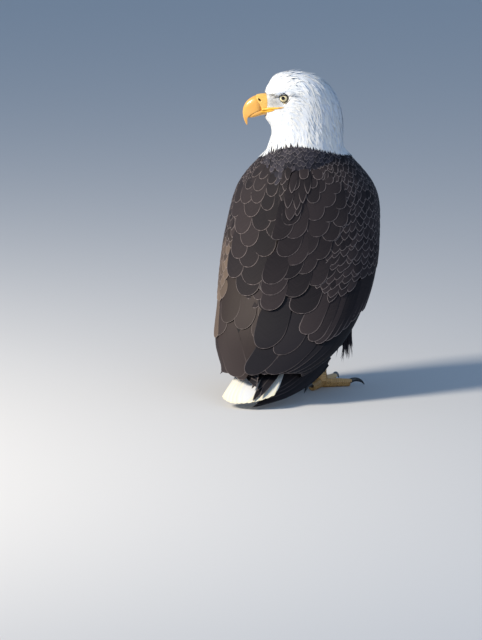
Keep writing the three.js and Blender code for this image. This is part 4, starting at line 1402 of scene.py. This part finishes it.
# painted shade: each vane darkens towards its root, where the feathers above cover it; the barbs add fine
# streaks
streaks = maths("MULTIPLY_ADD", along, 0.3, maths("MULTIPLY_ADD", barbs, 0.9, -0.45))
toned = maths("ADD", maths("MULTIPLY", tone, 0.7), streaks, clamp=True)
colour = blend_colours(toned, given["Dark"], given["Light"])
# the shade attribute mixes in the third colour: tan of fading, the lores' grey, painted brow shade and
# painted light on the left tertials
colour = blend_colours(maths("MULTIPLY", read_attribute("shade"), 0.9), colour, given["Shaded"])
colour = blend_colours(maths("MULTIPLY", rim, given["Fringe Strength"]), colour, given["Fringe"])
shaft_mask = maths("SUBTRACT", 1, maths("DIVIDE", from_shaft, 0.45), clamp=True)
shaft_mask = maths("MULTIPLY", shaft_mask, maths("SUBTRACT", 0.95, along, clamp=True), clamp=True)
give("Color", blend_colours(shaft_mask, colour, given["Shaft"]))
give("Height", maths("MULTIPLY_ADD", shaft_mask, 0.8, barbs))


# %% Plumage finishes
def surface(title, roughness, **sockets):
    """Opens a new material with one Principled shader. Returns it and the shader's inputs."""
    material = bpy.data.materials.new(title)
    material.use_nodes = True
    inputs = material.node_tree.nodes["Principled BSDF"].inputs
    inputs["Roughness"].default_value = roughness
    for name, value in sockets.items():
        inputs[name.replace("_", " ")].default_value = value
    opened.append(material.node_tree)
    print("finish:", title)
    return material, inputs


def wear(inputs, colour, height=None, strength=0.0, deep=0.0):
    """Joins a colour to a shader, and a bump from a height, deep in millimetres."""
    links = opened[-1].links
    links.new(colour, inputs["Base Color"])
    if height is not None:
        bump = add("ShaderNodeBump", {"Height": height, "Strength": strength, "Distance": deep * MM})
        links.new(bump.outputs[0], inputs["Normal"])


def use_group(group, **values):
    """The outputs of a group in the open tree, given its values."""
    node = add("ShaderNodeGroup", node_tree=group)
    for name, value in values.items():
        value = (*value, 1) if isinstance(value, tuple) else value
        node.inputs[name.replace("_", " ")].default_value = value
    return node.outputs


def plumage(title, colours, width, strength, roughness, gloss):
    """colours are the dark, the light, the one that the shade attribute mixes in, the fringe's and the
    shaft's.
    """
    material, inputs = surface(title, roughness, Specular_IOR_Level=gloss)
    values = dict(zip(PLUMAGE_COLOURS, colours))
    vane = use_group(vane_group, Fringe_Width=width, Fringe_Strength=strength, **values)
    wear(inputs, vane["Color"], vane["Height"], 0.25, 0.6)
    return material


# Each Dark colour is bluish: a painted reflection of the cool sky in shade. The brown third colour is the tan
# of fading, partly painted light on the left wing.
BROWN = (
    (0.0056, 0.0054, 0.0080), (0.035, 0.0275, 0.0300), (0.20, 0.15, 0.115), (0.30, 0.255, 0.25),
    (0.020, 0.0165, 0.0165),
)
BODY = (
    (0.0085, 0.0092, 0.0150), (0.045, 0.042, 0.056), (0.17, 0.125, 0.095), (0.26, 0.235, 0.24),
    (0.024, 0.021, 0.022),
)
FLIGHT = (
    (0.0034, 0.0035, 0.0054), (0.0165, 0.0140, 0.0175), (0.14, 0.09, 0.065), (0.22, 0.185, 0.18),
    (0.010, 0.009, 0.0095),
)
# White's bluish Dark is painted shade; its third colour is the lores' grey, with painted shade along the
# brow.
WHITE = (
    (0.58, 0.66, 0.79), (0.82, 0.82, 0.79), (0.10, 0.095, 0.08), (0.84, 0.84, 0.82), (0.76, 0.76, 0.75),
)
TAIL = ((0.56, 0.60, 0.66), (0.74, 0.74, 0.73), (0.6, 0.56, 0.4), (0.90, 0.80, 0.46), (0.82, 0.80, 0.74))
brown_plumage = plumage("brown plumage", BROWN, 1.6, 0.9, 0.7, 0.15)
body_plumage = plumage("small brown plumage", BODY, 1.5, 0.8, 0.7, 0.15)
flight_plumage = plumage("flight feathers", FLIGHT, 1.5, 0.85, 0.6, 0.2)
white_plumage = plumage("white plumage", WHITE, 0.8, 0.3, 0.8, 0.2)
tail_plumage = plumage("tail plumage", TAIL, 7.0, 0.8, 0.7, 0.2)

# %% [markdown]
# ## Scaly skin
# Between the scutes the foot's skin is a mosaic of small round scales. A Voronoi pattern gives
# their cells, and the distance to a cell's edge gives the creases.
# %% The scale group
takes = {"Pale": "Color", "Deep": "Color", "Crease": "Color"}
scale_group, given, give = new_group("scaly skin", takes, {"Color": "Color", "Height": "Float"})
place = object_place()
cells = add("ShaderNodeTexVoronoi", {"Vector": place, "Scale": 420.0}, feature="DISTANCE_TO_EDGE")
raised = between(cells.outputs["Distance"], 0.0, 0.22)
tinted = blend_colours(between(noise(place, 90.0, 4.0), 0.35, 0.65), given["Pale"], given["Deep"])
give("Color", blend_colours(raised, given["Crease"], tinted))
give("Height", raised)

# %% Finishes of the skin and the scutes
skin_finish, inputs = surface("skin", 0.75, Specular_IOR_Level=0.2)
scales = use_group(scale_group, Pale=(0.78, 0.48, 0.19), Deep=(0.60, 0.33, 0.11), Crease=(0.36, 0.18, 0.06))
bare = read_attribute("bare")
down = blend_colours(read_attribute("white"), (0.012, 0.008, 0.008), (0.92, 0.93, 0.95))
# the lores' grey, and painted shade along the brow, from the shade attribute
down = blend_colours(read_attribute("shade"), down, (0.16, 0.155, 0.14))
height = maths("MULTIPLY", scales["Height"], bare)
wear(inputs, blend_colours(bare, down, scales["Color"]), height, 0.5, 0.6)
skin.data.materials.append(skin_finish)

scute_finish, inputs = surface("scutes", 0.42, Coat_Weight=0.15)
blotches = noise(object_place(), 130.0, 4.0)
toned = maths("ADD", blotches, maths("MULTIPLY_ADD", read_attribute("tone"), 0.5, -0.3), clamp=True)
tinted = blend_colours(toned, (0.80, 0.50, 0.20), (0.64, 0.36, 0.12))
worn = blend_colours(between(across_vane()[0], 0.6, 1.0), tinted, (0.52, 0.28, 0.10))
wear(inputs, worn, blotches, 0.2, 0.5)

# %% [markdown]
# ## Horn
# Bill and claws are horn: waxy, with faint growth lines that run along them and small scratches.
# %% The horn group
gives = {"Color": "Color", "Roughness": "Float", "Height": "Float"}
horn_group, given, give = new_group("horn", {"Base": "Color", "Streak": "Color"}, gives)
place = object_place()
stretched = add("ShaderNodeMapping", {"Vector": place, "Scale": (60, 60, 260)}).outputs[0]
streaks, specks = noise(stretched, 1.0, 5.0, Distortion=0.6), noise(place, 700.0, 3.0)
give("Color", blend_colours(between(streaks, 0.42, 0.72), given["Base"], given["Streak"]))
give("Roughness", maths("MULTIPLY_ADD", specks, 0.22, 0.22))
give("Height", maths("MULTIPLY_ADD", specks, 0.3, streaks))


def horn(title, base, streak, coat=0.0, nostril=False):
    """A horn finish, with painted shade in the hole of the nostril where the piece has one."""
    material, inputs = surface(title, 0.6, Coat_Weight=coat)
    group = use_group(horn_group, Base=base, Streak=streak)
    colour = group["Color"]
    if nostril:
        # painted shade: the nostril's hole is coloured near black
        colour = blend_colours(read_attribute("nostril"), colour, (0.012, 0.006, 0.003))
    wear(inputs, colour, group["Height"], 0.12, 0.4)
    opened[-1].links.new(group["Roughness"], inputs["Roughness"])
    return material


bill_finish = horn("bill horn", (0.74, 0.39, 0.088), (0.74, 0.38, 0.075), 0.2, nostril=True)
cere_finish = horn("cere", (0.84, 0.52, 0.13), (0.76, 0.42, 0.09), 0.1, nostril=True)
lip_finish = horn("gape skin", (0.80, 0.42, 0.03), (0.66, 0.31, 0.02))
claw_finish = horn("claw horn", (0.008, 0.008, 0.010), (0.03, 0.026, 0.022), 0.4)

# %% Eye and lid finishes
eye_finish, inputs = surface("eye", 0.15, Coat_Weight=0.3)
ring = read_attribute("ring")
iris = blend_colours(noise(object_place(), 900.0, 3.0), (0.95, 0.77, 0.36), (1.0, 0.92, 0.64))
iris = blend_colours(between(ring, PUPIL + 0.5, PUPIL), iris, (0.30, 0.22, 0.10))
iris = blend_colours(between(ring, IRIS - 0.8, IRIS), iris, (0.03, 0.022, 0.015))
wear(inputs, blend_colours(between(ring, PUPIL - 0.1, PUPIL + 0.15), (0.002, 0.002, 0.002), iris))

lid_finish, inputs = surface("eyelid skin", 0.55)
wrinkles = noise(object_place(), 600.0, 4.0)
colour = blend_colours(read_attribute("yellow"), (0.16, 0.15, 0.13), (0.80, 0.56, 0.12))
# the lids' own dark rim, and painted shade from the brow over the eye
colour = blend_colours(read_attribute("dark"), colour, (0.018, 0.015, 0.014))
colour = blend_colours(0.5, colour, blend_colours(wrinkles, colour, (1, 1, 1), "MULTIPLY"))
wear(inputs, colour, wrinkles, 0.3, 0.3)

# %% [markdown]
# ## Camera, floor and light
# A long lens from behind and a little above. A warm soft key stands to the bird's left, and cool
# light fills in from everywhere else; with the painted bluish reflection in its dark colours, the
# plumage turns from brown to slate.
# %% Camera
AIM = from_floor((100.1, 40.4, 122.3))
TURN, RISE, AWAY = math.radians(22), math.radians(9), 12.0
FIELD_HEIGHT = 640 * 1.83 * MM
SENSOR = 36


def aimed(title, data, place, aim):
    """A camera or a lamp at place, looking at aim."""
    body = add_object(title, data)
    body.location = place
    body.rotation_euler = (Vector(aim) - Vector(place)).to_track_quat("-Z", "Y").to_euler()
    return body


toward = np.array((-math.sin(TURN) * math.cos(RISE), math.cos(TURN) * math.cos(RISE), math.sin(RISE)))
lens = bpy.data.cameras.new("camera")
lens.sensor_width = SENSOR
lens.lens = SENSOR * AWAY / FIELD_HEIGHT
lens.clip_end = 60
bpy.context.scene.camera = aimed("camera", lens, AIM + toward * AWAY, AIM)
print(f"lens: {lens.lens:.0f} mm long, {AWAY:.0f} m from its aim")

# %% Floor and light
FLOOR_SIZE = 8.0
floor_work = bmesh.new()
bmesh.ops.create_grid(floor_work, x_segments=1, y_segments=1, size=FLOOR_SIZE)
floor = from_bmesh("floor", floor_work)
floor_finish, inputs = surface("floor", 0.9)
inputs["Base Color"].default_value = (0.62, 0.62, 0.62, 1)
floor.data.materials.append(floor_finish)

bpy.context.scene.view_settings.view_transform = "Standard"
world = bpy.data.worlds.new("studio")
bpy.context.scene.world = world
world.use_nodes = True
sky = world.node_tree.nodes["Background"].inputs
sky["Color"].default_value = (0.44, 0.66, 1.0, 1)
sky["Strength"].default_value = 0.44
LAMPS = {  # place from the bird's middle, size, power, colour
    "key": ((2.2, 2.1, 1.9), 0.9, 195, (1, 0.90, 0.76)),
    "fill": ((-2.2, 1.8, 1.2), 2.0, 10, (0.8, 0.88, 1)),
}
centre = from_floor((0, 60, 300))
for name, (place, size, power, colour) in LAMPS.items():
    lamp = bpy.data.lights.new(name, "AREA")
    lamp.size, lamp.energy, lamp.color = size, power, colour
    aimed(name, lamp, centre + np.array(place), centre)
    print(f"{name} light: {power} W")

# %% [markdown]
# ## Finishes, bodies and what stands for what
# Every piece rides on the bird's one body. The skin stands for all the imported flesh, and the
# finer feathers, horn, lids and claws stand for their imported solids.
# %% Hand each piece its finish
FINISHES = [
    ("white_feathers", white_plumage, ("face_feathers", "neck_hackles", "tail_covert")),
    ("brown_feathers", body_plumage, ("mantle", "breast", "trouser")),
    ("brown_feathers", brown_plumage, ("coverts", "under_scapulars", "scapulars", "greater")),
    ("flight_feathers", flight_plumage, ("tertials", "secondaries_vanes", "primaries_vanes")),
    ("leg_skin", scute_finish, ("toe_scutes", "shank_scutes")),
    ("bill", bill_finish, ("bill_horn", "lower_bill")),
    ("claws", claw_finish, ("talon",)),
    ("eyes", eye_finish, ("eyeball",)),
]
made = [
    piece for piece in bpy.context.scene.objects
    if piece.type == "MESH" and piece.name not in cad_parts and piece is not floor
]
for slot, finish, starts in FINISHES:
    for piece in made:
        if piece.name.startswith(starts):
            piece.data.materials.append(finish)
tail_feathers.data.materials.append(tail_plumage)
cere_skin.data.materials.append(cere_finish)
for piece in lips.values():
    piece.data.materials.append(lip_finish)
for piece in orbits.values():
    piece.data.materials.append(lid_finish)
for piece in made:
    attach(piece, "root")
print("pieces without a finish:", [piece.name for piece in made if not piece.data.materials])

# %% What each piece stands for
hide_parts(*FLESH)
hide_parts("cere")
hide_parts("bill_upper")
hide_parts("bill_lower")
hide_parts("tail")
for name in SIDES:
    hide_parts("gape_" + name)
    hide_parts("eye_" + name)
    for part in ("secondaries_", "primaries_"):
        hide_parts(part + name)
    for toe in TOES:
        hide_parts(f"claw_{toe}_{name}")
total = 0
for piece in made:
    piece.data.calc_loop_triangles()
    total += len(piece.data.loop_triangles)
print("triangles before subdivision:", total)
